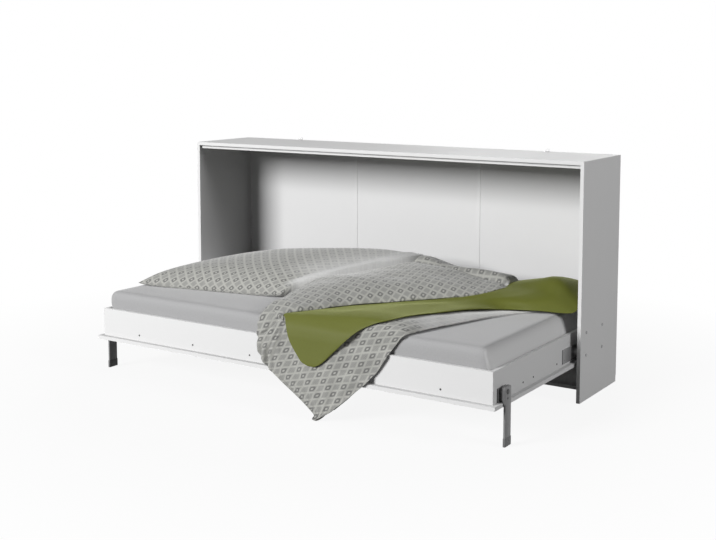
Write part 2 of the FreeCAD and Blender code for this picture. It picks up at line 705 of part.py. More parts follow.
# Bed box: ledgers carry the slats and are screwed through the boards
BED_DEPTH_SPAN = (BED_FRONT, BED_DEPTH)
BOARD_RISE = (BED_BASE, s.bed_wall)
BETWEEN_ENDS = (f"-{BED_INNER}", f"2 * {BED_INNER}")
LEDGER_RISE = (LEDGER_Z, s.ledger_height)
REAR_BOARD_Y = f"({BED_FRONT} + {BED_DEPTH} - {s.board})"
long_boards = {
    "front": (BED_FRONT, BED_WELL, -1),
    "rear": (REAR_BOARD_Y, f"({REAR_BOARD_Y} - {s.ledger_width})", 1),
}
ledger_screws = []


def ledger_screw(tag, axis, head_base, shank_base):
    shank = cylinder(f"ledger_shank_{tag}", axis, s.screw_diameter, s.screw_length, shank_base)
    head = cylinder(f"ledger_head_{tag}", axis, s.screw_head_diameter, s.screw_head_height, head_base)
    ledger_screws.append(fuse(f"ledger_screw_{tag}", [shank, head]))


for name, (board_y, ledger_y, way) in long_boards.items():
    board_holes = []
    strip_holes = []
    for index, x in enumerate([sign * along for along in FRONT_SCREWS for _, sign in SIDES]):
        tag = f"{name}_{index}"
        if way < 0:
            head_y = f"{board_y} - {s.screw_head_height}"
            shank_y = board_y
        else:
            head_y = f"{board_y} + {s.board}"
            shank_y = f"{board_y} + {s.board} - {s.screw_length}"
        shank_base = (x, shank_y, SCREW_Z)
        ledger_screw(tag, "y", (x, head_y, SCREW_Z), shank_base)
        for holes in (board_holes, strip_holes):
            hole_name = f"hole_{tag}_{len(holes)}"
            holes.append(cylinder(hole_name, "y", SCREW_HOLE, s.screw_length, shank_base))
    board = box(f"{name}_blank", BETWEEN_ENDS, (board_y, s.board), BOARD_RISE)
    with_holes(f"bed_{name}_board", board, board_holes)
    strip = box(f"{name}_ledger_blank", BETWEEN_ENDS, (ledger_y, s.ledger_width), LEDGER_RISE)
    with_holes(f"{name}_ledger", strip, strip_holes)

side_places = [f"{BED_FRONT} + {along}" for along in SIDE_SCREWS]
side_places.append(f"{BED_PLATE_Y} - {PLATE_SIDE_SCREW}")
for side, sign in SIDES:
    board_holes = list(end_holes[side])
    strip_holes = []
    for index, y in enumerate(side_places):
        tag = f"{side}_{index}"
        head_x = mirrored(sign, BED_END, s.screw_head_height)
        shank_x = mirrored(sign, f"{BED_END} - {s.screw_length}", s.screw_length)
        shank_base = (shank_x, y, SCREW_Z)
        ledger_screw(tag, "x", (head_x, y, SCREW_Z), shank_base)
        for holes in (board_holes, strip_holes):
            hole_name = f"hole_{tag}_{len(holes)}"
            holes.append(cylinder(hole_name, "x", SCREW_HOLE, s.screw_length, shank_base))
    board = end_box(f"{side}_end_blank", sign, (BED_INNER, s.board), BED_DEPTH_SPAN, BOARD_RISE)
    with_holes(f"bed_{side}_board", board, board_holes)
    between = (f"{BED_WELL} + {s.ledger_width}", f"{WELL_DEPTH} - 2 * {s.ledger_width}")
    strip_span = (f"{BED_INNER} - {s.ledger_width}", s.ledger_width)
    strip = end_box(f"{side}_ledger_blank", sign, strip_span, between, LEDGER_RISE)
    with_holes(f"{side}_ledger", strip, strip_holes)
node("ledger_screws", group("ledger_screw_group", ledger_screws))

door = box(
    "door_blank",
    (f"-{DOOR_END}", f"2 * {DOOR_END}"),
    (f"{BED_FRONT} - {s.door_lip}", f"{s.door_lip} + {BED_DEPTH} - {s.door_rear_inset}"),
    (s.door_underside, s.board),
)
node("door_panel", door)

slats = []
SLAT_STEP = f"((2 * {BED_INNER} - 2 * {s.slat_end_gap} - {s.slat_width}) / {SLAT_COUNT - 1})"
for index in range(SLAT_COUNT):
    start = f"-{BED_INNER} + {s.slat_end_gap} + {index} * {SLAT_STEP}"
    across = (f"{BED_WELL} + {s.slat_end_gap}", f"{WELL_DEPTH} - 2 * {s.slat_end_gap}")
    slats.append(box(f"slat_{index}", (start, s.slat_width), across, (SLAT_Z, s.slat_thickness)))
node("bed_slats", group("slat_group", slats))


# Soft pieces: ruled lofts through lines and arcs
def line(start, end):
    return Part.LineSegment(start, end).toShape()


def arc(start, middle, end):
    return Part.Arc(start, middle, end).toShape()


def loft(wires):
    return Part.makeLoft(wires, True, True)


def rounded_outline(half_x, y0, y1, z, corner):
    """Flat outline with quarter-circle corners."""
    knee = corner * (1 - math.sqrt(0.5))
    edges = []
    corners = ((half_x, y0, -1, 1), (half_x, y1, -1, -1), (-half_x, y1, 1, -1), (-half_x, y0, 1, 1))
    marks = []
    for x, y, in_x, in_y in corners:
        before = Vector(x, y + in_y * corner, z)
        beside = Vector(x + in_x * corner, y, z)
        bend = Vector(x + in_x * knee, y + in_y * knee, z)
        marks.append((beside, bend, before) if in_x * in_y < 0 else (before, bend, beside))
    for index, (start, bend, end) in enumerate(marks):
        edges.append(arc(start, bend, end))
        edges.append(line(end, marks[(index + 1) % len(marks)][0]))
    return Part.Wire(edges)


mattress_top = mm(MATTRESS_TOP)
mattress_front = mm(MATTRESS_Y)
mattress_width = mm(MATTRESS_WIDTH)
mattress_back = mattress_front + mattress_width
mattress_end = mm(f"{BED_INNER} - {s.mattress_end_gap}")
mattress_rise = mm(s.mattress_thickness)
# Piped lower edge, sides drawn in at mid height, rolled upper edge and a low crown
MATTRESS_LEVELS = ((0, 12), (0.12, 1), (0.45, 5), (0.8, 1), (0.93, 9), (0.98, 30), (1, 110))
outlines = []
for share, inset in MATTRESS_LEVELS:
    outlines.append(
        rounded_outline(
            mattress_end - inset,
            mattress_front + inset,
            mattress_back - inset,
            mm(MATTRESS_Z) + share * mattress_rise,
            mm(s.mattress_corner),
        )
    )
node("mattress", solid("mattress_shape", loft(outlines)))


def pillow_outline(half_x, half_y, z, draw):
    """Four corners joined by sides that draw in, or swell out where draw is negative."""
    corners = [Vector(half_x, -half_y, z), Vector(half_x, half_y, z)]
    corners += [Vector(-half_x, half_y, z), Vector(-half_x, -half_y, z)]
    edges = []
    for index, start in enumerate(corners):
        end = corners[(index + 1) % 4]
        middle = (start + end) / 2
        inward = Vector(-middle.x, -middle.y, 0).normalize()
        edges.append(arc(start, middle + inward * draw, end))
    return Part.Wire(edges)


# Pinched corners at the seam, swelling to a rounder outline above and below it
PILLOW_LEVELS = (-0.96, -0.85, -0.6, -0.3, 0, 0.3, 0.6, 0.85, 0.96)
pillow_half_x = mm(s.pillow_length) / 2
pillow_half_y = mm(s.pillow_depth) / 2
pillow_half_z = mm(s.pillow_thickness) / 2
pillow_draw = mm(s.pillow_draw)
pillow_swell = mm(s.pillow_swell)
outlines = []
for level in PILLOW_LEVELS:
    reach = math.sqrt(1 - level * level)
    draw = pillow_draw - (pillow_swell + pillow_draw) * abs(level)
    half_x = pillow_half_x * reach
    half_y = pillow_half_y * reach
    outlines.append(pillow_outline(half_x, half_y, pillow_half_z * level, draw))
pillow_low = pillow_half_z * -PILLOW_LEVELS[0]
turn = Rotation(Vector(0, 0, 1), mm(s.pillow_turn))
lean = math.radians(mm(s.pillow_turn))
pillow_span_x = pillow_half_x * math.cos(lean) + pillow_half_y * math.sin(lean)
pillow_span_y = pillow_half_y * math.cos(lean) + pillow_half_x * math.sin(lean)
pillow_middle = Vector(
    -mattress_end + mm(s.pillow_head_gap) + pillow_span_x,
    mattress_back - mm(s.pillow_rear_gap) - pillow_span_y,
    mattress_top + mm(s.cloth_gap) + pillow_low,
)
node("pillow", solid("pillow_shape", loft(outlines), Placement(pillow_middle, turn)))

# Duvet folded over a throw, in cross sections from the front edge of the mattress to its rear.
# Each row: share of the mattress width, left edge from the pillow, right edge from the foot end,
# join of the upper layer and the throw as a share of the row, lower layer's height, upper's height.
BEDDING_ROWS = (
    (0.00, 77, 400, 0.171, 16, 16),
    (0.12, 47, 375, 0.368, 24, 34),
    (0.30, 37, 310, 0.467, 32, 60),
    (0.55, 72, 210, 0.666, 44, 82),
    (0.78, 102, 135, 0.787, 64, 82),
    (0.88, 122, 20, 0.767, 92, 70),
    (0.99, 142, 20, 0.802, 92, 45),
)
pillow_end = pillow_middle.x + pillow_span_x
cloth_roll = mm(s.cloth_roll)
ROLL_SHARE = 0.34
SHOULDER_IN = 0.3
SHOULDER_UP = 0.75


def layer_outline(x0, x1, y, z0, z1):
    """Cross section of a cloth layer with rolled upper corners, smaller on a narrow layer."""
    roll = min(cloth_roll, ROLL_SHARE * (x1 - x0))
    low_left = Vector(x0, y, z0)
    low_right = Vector(x1, y, z0)
    high_left = Vector(x0 + roll, y, z1)
    high_right = Vector(x1 - roll, y, z1)
    rise = z1 - z0
    shoulder = SHOULDER_IN * roll
    shoulder_z = z0 + SHOULDER_UP * rise
    left = arc(low_left, Vector(x0 + shoulder, y, shoulder_z), high_left)
    right = arc(high_right, Vector(x1 - shoulder, y, shoulder_z), low_right)
    return Part.Wire([left, line(high_left, high_right), right, line(low_right, low_left)])


def strip_outline(x0, x1, y, z0, z1):
    corners = [Vector(x0, y, z0), Vector(x0, y, z1), Vector(x1, y, z1), Vector(x1, y, z0)]
    return Part.Wire([line(corners[index], corners[(index + 1) % 4]) for index in range(4)])


gap = mm(s.cloth_gap)
lower = []
upper = []
throw = []
throw_thickness = mm(s.throw_thickness)
throw_edge_gap = mm(s.throw_edge_gap)
for share, head, foot, join, rise, crest in BEDDING_ROWS:
    y = mattress_front + share * mattress_width
    x0 = pillow_end + head
    x1 = mattress_end - foot
    joint = x0 + join * (x1 - x0)
    z0 = mattress_top + gap
    z1 = z0 + rise
    seat = z1 + gap
    lower.append(layer_outline(x0, x1, y, z0, z1))
    upper.append(layer_outline(x0 + cloth_roll, joint, y, seat, seat + crest))
    throw.append(strip_outline(joint + throw_edge_gap, x1 - cloth_roll, y, seat, seat + throw_thickness))
node("duvet_lower", solid("duvet_lower_shape", loft(lower)))
node("duvet_upper", solid("duvet_upper_shape", loft(upper)))
node("throw", solid("throw_shape", loft(throw)))


def hanging_outline(x0, x1, y, z, thickness, fold, folds):
    """Level section through hanging cloth: a wavy band with as many folds as named."""
    step = (x1 - x0) / folds
    edges = []
    for index in range(folds):
        bulge = fold if index % 2 else -fold
        start = x0 + index * step
        middle = Vector(start + step / 2, y + bulge, z)
        edges.append(arc(Vector(start, y, z), middle, Vector(start + step, y, z)))
    back = y + thickness
    edges.append(line(Vector(x1, y, z), Vector(x1, back, z)))
    for index in reversed(range(folds)):
        bulge = fold if index % 2 else -fold
        start = x0 + index * step
        middle = Vector(start + step / 2, back + bulge, z)
        edges.append(arc(Vector(start + step, back, z), middle, Vector(start, back, z)))
    edges.append(line(Vector(x0, back, z), Vector(x0, y, z)))
    return Part.Wire(edges)


# Hanging corner of the duvet: over the mattress edge, past the rim and the door's lip, to the tip.
# Each row: height, distance of the cloth's back in front of the bed, left and right ends as shares
# of the duvet's front edge, fold depth.
drape_thickness = mm(s.drape_thickness)
bed_front = mm(BED_FRONT)
front_left = pillow_end + BEDDING_ROWS[0][1]
front_length = mattress_end - BEDDING_ROWS[0][2] - front_left
edge_z = mattress_top + BEDDING_ROWS[0][4]
edge_back = bed_front - mattress_front + gap
rim_z = mm(BED_RIM)
rim_back = mm(s.drape_rim_gap)
lip_z = mm(BED_BASE)
lip_back = mm(f"{s.door_lip} + {s.drape_lip_gap}")
tip_z = mm(s.drape_floor_gap)
tip_back = mm(f"{s.drape_out} - {s.drape_thickness}")
EDGE_FOLD = 0.2
RIM_FOLD = 5
LIP_FOLD = 9
SHIN_FOLD = 6
drape_rows = (
    (edge_z, edge_back, 0.007, 0.993, EDGE_FOLD),
    (rim_z, rim_back, -0.007, 0.914, RIM_FOLD),
    (lip_z, lip_back, 0.079, 0.755, LIP_FOLD),
    ((lip_z + tip_z) / 2, (lip_back + tip_back) / 2, 0.273, 0.64, SHIN_FOLD),
    (tip_z, tip_back, 0.471, 0.505, EDGE_FOLD),
)
DRAPE_FOLDS = 5
outlines = []
for z, back, start, end, fold in drape_rows:
    y = bed_front - back - drape_thickness
    x0 = front_left + start * front_length
    x1 = front_left + end * front_length
    outlines.append(hanging_outline(x0, x1, y, z, drape_thickness, fold, DRAPE_FOLDS))
node("duvet_drape", solid("duvet_drape_shape", loft(outlines)))

# Hanging tongue of the throw, lying on the duvet's corner: rows as above, with the fold under it
tongue_z = lip_z + mm(s.tongue_tip_rise)
tongue_back = rim_back + (rim_z - tongue_z) / (rim_z - lip_z) * (lip_back - rim_back)
TONGUE_FOLD = 2
tongue_rows = (
    (edge_z, edge_back, 0.177, 0.741, EDGE_FOLD, EDGE_FOLD),
    (rim_z, rim_back, 0.237, 0.612, TONGUE_FOLD, RIM_FOLD),
    (tongue_z, tongue_back, 0.353, 0.417, EDGE_FOLD, LIP_FOLD),
)
TONGUE_FOLDS = 3
outlines = []
for z, back, start, end, fold, below in tongue_rows:
    y = bed_front - back - drape_thickness - below - fold - gap - throw_thickness
    x0 = front_left + start * front_length
    x1 = front_left + end * front_length
    outlines.append(hanging_outline(x0, x1, y, z, throw_thickness, fold, TONGUE_FOLDS))
node("throw_drape", solid("throw_drape_shape", loft(outlines)))

doc.recompute()
for piece in doc.Objects:
    if "Invalid" in piece.State or "Error" in piece.State:
        raise RuntimeError(f"{piece.Name} failed to build")
for piece in nodes:
    if piece.Shape.isNull() or not piece.Shape.isValid():
        raise RuntimeError(f"{piece.Label} has no valid shape")

os.makedirs("parts", exist_ok=True)
for piece in nodes:
    piece.Shape.exportStep(f"parts/{piece.Label}.step")
box_all = FreeCAD.BoundBox()
for piece in nodes:
    box_all.add(piece.Shape.BoundBox)
print(f"{len(nodes)} sub-parts, {box_all.XLength:.1f} x {box_all.YLength:.1f} x {box_all.ZLength:.1f} mm")
print(f"pivot at Y {mm(PIVOT_Y):.2f}, Z {mm(PIVOT_Z):.2f}")
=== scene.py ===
import json
import math

import bpy
import numpy as np
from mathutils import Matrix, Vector, noise


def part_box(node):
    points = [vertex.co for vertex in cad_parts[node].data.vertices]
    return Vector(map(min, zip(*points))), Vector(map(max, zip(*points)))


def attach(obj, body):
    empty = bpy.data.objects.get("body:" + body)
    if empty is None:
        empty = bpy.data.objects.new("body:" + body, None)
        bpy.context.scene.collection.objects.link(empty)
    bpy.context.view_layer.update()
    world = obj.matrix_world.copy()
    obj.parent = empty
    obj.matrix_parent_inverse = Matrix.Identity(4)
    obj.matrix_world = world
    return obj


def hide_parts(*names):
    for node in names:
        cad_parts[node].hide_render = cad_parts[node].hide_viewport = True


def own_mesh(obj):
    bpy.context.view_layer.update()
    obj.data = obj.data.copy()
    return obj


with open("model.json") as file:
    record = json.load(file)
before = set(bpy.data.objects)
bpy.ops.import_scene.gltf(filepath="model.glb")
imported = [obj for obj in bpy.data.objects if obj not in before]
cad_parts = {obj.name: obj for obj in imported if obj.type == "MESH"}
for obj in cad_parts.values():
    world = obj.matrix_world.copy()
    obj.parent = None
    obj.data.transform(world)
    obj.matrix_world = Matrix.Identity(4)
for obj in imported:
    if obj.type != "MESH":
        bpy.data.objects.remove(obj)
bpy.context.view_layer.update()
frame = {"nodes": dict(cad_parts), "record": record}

bl_info = {
    "name": "Folding Bed",
    "version": (1, 0, 0),
    "blender": (4, 5, 0),
    "location": "3D View > Sidebar > Folding Bed",
    "description": "Finishes a wall cabinet bed: boards, fittings, legs, mattress and bedding",
    "category": "Object",
}

MM = 0.001
# The bedding is laid out from the bed's middle, the cabinet's front plane and the floor
FRONT_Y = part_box("left_side_panel")[0].y
MATTRESS_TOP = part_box("mattress")[1].z


class BoardFinish(bpy.types.PropertyGroup):
    """White faced boards of the cabinet and the bed box"""

    white: bpy.props.FloatVectorProperty(
        name="White",
        description="Colour of the faced boards",
        subtype="COLOR",
        default=(0.85, 0.85, 0.85),
    )
    roughness: bpy.props.FloatProperty(
        name="Roughness", description="Sheen of the facing", default=0.62, min=0.0, max=1.0
    )
    bounce: bpy.props.FloatProperty(
        name="Bounce",
        description="Share of the light thrown on to other boards",
        default=0.25,
        min=0.0,
        max=1.0,
    )
    wood: bpy.props.FloatVectorProperty(
        name="Bare wood",
        description="Colour of slats, ledgers and dowels",
        subtype="COLOR",
        default=(0.56, 0.40, 0.23),
    )


class FittingFinish(bpy.types.PropertyGroup):
    """Steel and plastic fittings"""

    paint: bpy.props.FloatVectorProperty(
        name="Leg paint",
        description="Colour of the legs and their brackets",
        subtype="COLOR",
        default=(0.25, 0.25, 0.253),
    )
    plate: bpy.props.FloatVectorProperty(
        name="Plates",
        description="Colour of the hinge and bed plates and the bolts",
        subtype="COLOR",
        default=(0.38, 0.38, 0.385),
    )
    tube: bpy.props.FloatVectorProperty(
        name="Spring tubes",
        description="Colour of the gas spring tubes",
        subtype="COLOR",
        default=(0.03, 0.03, 0.032),
    )
    zinc: bpy.props.FloatVectorProperty(
        name="Plated steel",
        description="Colour of pivot pins, studs and rods",
        subtype="COLOR",
        default=(0.42, 0.42, 0.43),
    )
    screw: bpy.props.FloatVectorProperty(
        name="Screws",
        description="Colour of the screws and leg pins",
        subtype="COLOR",
        default=(0.05, 0.05, 0.052),
    )
    plastic: bpy.props.FloatVectorProperty(
        name="Dark plastic",
        description="Colour of feet and bushes",
        subtype="COLOR",
        default=(0.17, 0.17, 0.172),
    )
    leg_width: bpy.props.FloatProperty(
        name="Leg width", description="Width of the leg strap", default=0.048, unit="LENGTH"
    )
    head_width: bpy.props.FloatProperty(
        name="Leg head width", description="Width of the leg's head", default=0.056, unit="LENGTH"
    )
    head_rise: bpy.props.FloatProperty(
        name="Leg head rise",
        description="Top of the leg's head above its pin",
        default=0.021,
        unit="LENGTH",
    )
    leg_thickness: bpy.props.FloatProperty(
        name="Leg thickness", description="Thickness of the leg strap", default=0.008, unit="LENGTH"
    )


class BeddingFinish(bpy.types.PropertyGroup):
    """Cloth of the mattress, pillow, duvet and throw"""

    jersey: bpy.props.FloatVectorProperty(
        name="Fitted sheet",
        description="Colour of the mattress sheet",
        subtype="COLOR",
        default=(0.44, 0.44, 0.445),
    )
    # Painted highlight: a paler sheet colour laid on the mattress's ends, standing in for the light that
    # falls there
    painted_end_light: bpy.props.FloatVectorProperty(
        name="Stretched sheet",
        description="Colour of the sheet where it is drawn over the ends",
        subtype="COLOR",
        default=(0.93, 0.93, 0.93),
    )
    ground: bpy.props.FloatVectorProperty(
        name="Print ground",
        description="Colour between the printed lines",
        subtype="COLOR",
        default=(0.352, 0.352, 0.333),
    )
    lattice: bpy.props.FloatVectorProperty(
        name="Print lattice",
        description="Colour of the pale printed lattice",
        subtype="COLOR",
        default=(0.466, 0.466, 0.433),
    )
    # Painted highlight: a paler print laid on the pillow's end and the duvet's edges, standing in for
    # light and lifting shade there
    painted_light: bpy.props.FloatVectorProperty(
        name="Washed print",
        description="Colour of the washed print at the pillow's end and the duvet's right edges",
        subtype="COLOR",
        default=(0.74, 0.74, 0.735),
    )
    ring: bpy.props.FloatVectorProperty(
        name="Print rings",
        description="Colour of the dark printed rings",
        subtype="COLOR",
        default=(0.135, 0.135, 0.133),
    )
    pitch: bpy.props.FloatProperty(
        name="Print pitch",
        description="Side of one printed cell",
        default=0.0325,
        unit="LENGTH",
        min=0.005,
    )
    green: bpy.props.FloatVectorProperty(
        name="Throw",
        description="Colour of the throw",
        subtype="COLOR",
        default=(0.122, 0.136, 0.018),
    )


class StageSettings(bpy.types.PropertyGroup):
    """Camera and studio light"""

    lens: bpy.props.FloatProperty(
        name="Lens", description="Focal length in millimetres", default=57.95, min=10.0
    )
    shift: bpy.props.FloatProperty(
        name="Shift", description="Vertical shift of the lens", default=-0.13
    )
    place: bpy.props.FloatVectorProperty(
        name="Camera place",
        description="Where the camera stands",
        subtype="TRANSLATION",
        default=(2.9199, FRONT_Y - 4.5345, 1.4659),
    )
    turn: bpy.props.FloatProperty(
        name="Camera turn", description="Turn to the left", subtype="ANGLE", default=0.58239
    )
    tilt: bpy.props.FloatProperty(
        name="Camera tilt",
        description="Tilt below the horizon",
        subtype="ANGLE",
        default=math.radians(5.817),
    )
    key: bpy.props.FloatProperty(
        name="Front light", description="Power of the front light", default=1450.0, min=0.0, unit="POWER"
    )
    side: bpy.props.FloatProperty(
        name="Side light",
        description="Power of the light at the right",
        default=225.0,
        min=0.0,
        unit="POWER",
    )
    rear: bpy.props.FloatProperty(
        name="Rear light", description="Power of the light behind", default=160.0, min=0.0, unit="POWER"
    )
    sky: bpy.props.FloatProperty(
        name="Ambient", description="Strength of the light from all round", default=0.06, min=0.0
    )


def settings(name):
    return getattr(bpy.context.scene, name)


# Node building
def shader_group(name, inputs, outputs):
    """New node group with named sockets, each given as (name, type, default)."""
    group = bpy.data.node_groups.new(name, "ShaderNodeTree")
    for label, kind, value in inputs:
        socket = group.interface.new_socket(label, in_out="INPUT", socket_type=kind)
        if value is not None:
            socket.default_value = value
    for label, kind in outputs:
        group.interface.new_socket(label, in_out="OUTPUT", socket_type=kind)
    start = group.nodes.new("NodeGroupInput")
    end = group.nodes.new("NodeGroupOutput")
    return group, start, end


def set_inputs(node, values):
    for socket, value in values.items():
        node.inputs[socket].default_value = value


def add(tree, kind, values=None, **options):
    """New node with its options set and its unlinked inputs given by name or number."""
    made = tree.nodes.new(kind)
    for option, value in options.items():
        setattr(made, option, value)
    set_inputs(made, values or {})
    return made


def join(tree, source, target):
    tree.links.new(source, target)


def math_node(tree, operation, first, second=None):
    """Math node whose operands are sockets or plain numbers."""
    made = add(tree, "ShaderNodeMath", operation=operation)
    for index, value in enumerate((first, second)):
        if value is None:
            continue
        if isinstance(value, (int, float)):
            made.inputs[index].default_value = value
        else:
            join(tree, value, made.inputs[index])
    return made.outputs[0]


def opposite(tree, share):
    return math_node(tree, "SUBTRACT", 1.0, share)


def mix_colour(tree, factor, first, second):
    """Colour mix; each of the three is a socket or a plain value."""
    made = add(tree, "ShaderNodeMix", data_type="RGBA")
    for index, value in ((0, factor), (6, first), (7, second)):
        if hasattr(value, "is_linked"):
            join(tree, value, made.inputs[index])
        else:
            made.inputs[index].default_value = value
    return made.outputs[2]


def rgba(colour):
    return (*colour, 1.0)


def shades(colour, down, up):
    """A deeper and a paler shade of a colour."""
    deep = rgba([c * down for c in colour])
    pale = rgba([min(1.0, c * up) for c in colour])
    return deep, pale


def new_material(name):
    """Material with a Principled shader; gives the material, its tree and the shader."""
    material = bpy.data.materials.new(name)
    material.use_nodes = True
    tree = material.node_tree
    return material, tree, tree.nodes["Principled BSDF"]


def object_place(tree):
    return add(tree, "ShaderNodeTexCoord").outputs["Object"]


def bump(tree, shader, height, strength, depth):
    """Bump on a shader from a height, with its depth in metres."""
    made = add(tree, "ShaderNodeBump", {"Strength": strength, "Distance": depth})
    join(tree, height, made.inputs["Height"])
    join(tree, made.outputs["Normal"], shader.inputs["Normal"])


def grain_group():
    """Fine speckle and broad cloudiness that any hard surface shows."""
    group, start, end = shader_group(
        "surface_grain",
        [
            ("Place", "NodeSocketVector", None),
            ("Fine", "NodeSocketFloat", 900.0),
            ("Broad", "NodeSocketFloat", 5.0),
        ],
        [("Speckle", "NodeSocketFloat"), ("Cloud", "NodeSocketFloat")],
    )
    fine = add(group, "ShaderNodeTexNoise", {"Detail": 3.0, "Roughness": 0.6})
    broad = add(group, "ShaderNodeTexNoise", {"Detail": 4.0, "Roughness": 0.55})
    for texture, scale in ((fine, "Fine"), (broad, "Broad")):
        join(group, start.outputs["Place"], texture.inputs["Vector"])
        join(group, start.outputs[scale], texture.inputs["Scale"])
    join(group, fine.outputs[0], end.inputs["Speckle"])
    join(group, broad.outputs[0], end.inputs["Cloud"])
    return group


def weave_group():
    """Over and under threads of a plain weave, on a map in metres."""
    group, start, end = shader_group(
        "plain_weave",
        [("Map", "NodeSocketVector", None), ("Threads", "NodeSocketFloat", 1100.0)],
        [("Height", "NodeSocketFloat"), ("Slub", "NodeSocketFloat")],
    )
    scaled = add(group, "ShaderNodeVectorMath", operation="SCALE")
    join(group, start.outputs["Map"], scaled.inputs[0])
    join(group, start.outputs["Threads"], scaled.inputs["Scale"])
    apart = add(group, "ShaderNodeSeparateXYZ")
    join(group, scaled.outputs[0], apart.inputs[0])
    warp = math_node(group, "SINE", math_node(group, "MULTIPLY", apart.outputs[0], math.pi))
    weft = math_node(group, "SINE", math_node(group, "MULTIPLY", apart.outputs[1], math.pi))
    join(group, math_node(group, "MULTIPLY", warp, weft), end.inputs["Height"])
    slub = add(group, "ShaderNodeTexNoise", {"Scale": 140.0, "Detail": 3.0})
    join(group, start.outputs["Map"], slub.inputs["Vector"])
    join(group, slub.outputs[0], end.inputs["Slub"])
    return group


def soft_step(tree, value, low, high):
    """0 below the low value, 1 above the high one, with a smooth rise between."""
    limits = {1: low, 2: high, 3: 0.0, 4: 1.0}
    made = add(tree, "ShaderNodeMapRange", limits, interpolation_type="SMOOTHSTEP")
    join(tree, value, made.inputs[0])
    return made.outputs[0]


# Parts of a printed cell, in shares of its side from the middle: where each soft edge starts and ends
PRINT_DOT = (0.11, 0.17)
PRINT_FIELD = (0.28, 0.34)
PRINT_RING = (0.30, 0.37)
PRINT_LINE = (0.36, 0.43)
# Stripes along one side of a cell, the strength of each ink and how far all of them have faded
PRINT_STRIPES = 5
RING_INK = 0.85
STRIPE_INK = 0.30
PRINT_FADE = 0.12
# How far the slubs wear through the print, and how white the sheen of a dyed cloth stays
SLUB_WEAR = 0.25
SHEEN_WHITE = 0.35


def print_group():
    """Pale lattice of small squares: every second one holds a dark ring, the others fine stripes."""
    group, start, end = shader_group(
        "lozenge_print",
        [
            ("Map", "NodeSocketVector", None),
            ("Pitch", "NodeSocketFloat", 0.03),
            ("Ground", "NodeSocketColor", None),
            ("Lattice", "NodeSocketColor", None),
            ("Ring", "NodeSocketColor", None),
        ],
        [("Color", "NodeSocketColor")],
    )
    apart = add(group, "ShaderNodeSeparateXYZ")
    join(group, start.outputs["Map"], apart.inputs[0])
    across = math_node(group, "ADD", apart.outputs[0], apart.outputs[1])
    along = math_node(group, "SUBTRACT", apart.outputs[1], apart.outputs[0])
    reach = math_node(group, "MULTIPLY", start.outputs["Pitch"], math.sqrt(2))
    distances = []
    numbers = []
    insides = []
    for way in (across, along):
        cells = math_node(group, "DIVIDE", way, reach)
        number = math_node(group, "FLOOR", cells)
        inside = math_node(group, "SUBTRACT", cells, math_node(group, "ADD", number, 0.5))
        distances.append(math_node(group, "ABSOLUTE", inside))
        numbers.append(number)
        insides.append(inside)
    square = math_node(group, "MAXIMUM", *distances)
    squared = [math_node(group, "MULTIPLY", distance, distance) for distance in distances]
    circle = math_node(group, "SQRT", math_node(group, "ADD", *squared))
    rounded = math_node(group, "MULTIPLY", math_node(group, "ADD", square, circle), 0.5)
    ringed = math_node(group, "FLOORED_MODULO", math_node(group, "ADD", *numbers), 2.0)
    striped = opposite(group, ringed)
    line = soft_step(group, square, *PRINT_LINE)
    middle = opposite(group, soft_step(group, rounded, *PRINT_DOT))
    disc = opposite(group, soft_step(group, rounded, *PRINT_RING))
    field = opposite(group, soft_step(group, square, *PRINT_FIELD))
    pale = math_node(group, "MAXIMUM", line, math_node(group, "MULTIPLY", middle, ringed))
    ring = math_node(group, "MULTIPLY", math_node(group, "SUBTRACT", disc, middle), ringed)
    turns = math_node(group, "MULTIPLY", math_node(group, "ADD", *insides), 2 * math.pi * PRINT_STRIPES)
    swing = math_node(group, "COSINE", turns)
    wave = math_node(group, "ADD", math_node(group, "MULTIPLY", swing, 0.5), 0.5)
    stripe = math_node(group, "MULTIPLY", math_node(group, "MULTIPLY", wave, field), striped)
    colour = mix_colour(group, pale, start.outputs["Ground"], start.outputs["Lattice"])
    for mask, ink in ((ring, RING_INK), (stripe, STRIPE_INK)):
        colour = mix_colour(group, math_node(group, "MULTIPLY", mask, ink), colour, start.outputs["Ring"])
    join(group, colour, end.inputs["Color"])
    return group


def place_group(tree, group, links, values):
    made = add(tree, "ShaderNodeGroup")
    made.node_tree = group
    for socket, source in links.items():
        join(tree, source, made.inputs[socket])
    set_inputs(made, values)
    return made


def shared_group(name, maker):
    return bpy.data.node_groups.get(name) or maker()


def quiet_bounce(tree, colour, share):
    """The colour as the lens sees it, and only a share of it in the light thrown on other surfaces."""
    path = add(tree, "ShaderNodeLightPath")
    dim = math_node(tree, "MULTIPLY", path.outputs["Is Diffuse Ray"], 1 - share)
    return mix_colour(tree, dim, colour, (0, 0, 0, 1))


# How far the roughness of a hard surface drifts
ROUGHNESS_DRIFT = 0.16


def hard_material(name, colour, roughness, metallic, tint, fine, shine, bounce=1.0):
    """Hard surface: the colour drifts a little, and speckle gives roughness and bump."""
    material, tree, shader = new_material(name)
    grain = place_group(
        tree,
        shared_group("surface_grain", grain_group),
        {"Place": object_place(tree)},
        {"Fine": fine, "Broad": 4.0},
    )
    tone = mix_colour(tree, grain.outputs["Cloud"], *shades(colour, 1 - tint, 1 + tint))
    if bounce < 1:
        tone = quiet_bounce(tree, tone, bounce)
    join(tree, tone, shader.inputs["Base Color"])
    spread = math_node(tree, "MULTIPLY", grain.outputs["Cloud"], ROUGHNESS_DRIFT)
    rough = math_node(tree, "ADD", spread, roughness - ROUGHNESS_DRIFT / 2)
    join(tree, rough, shader.inputs["Roughness"])
    set_inputs(shader, {"Metallic": metallic, "Specular IOR Level": shine})
    bump(tree, shader, grain.outputs["Speckle"], strength=0.35, depth=0.00004)
    return material


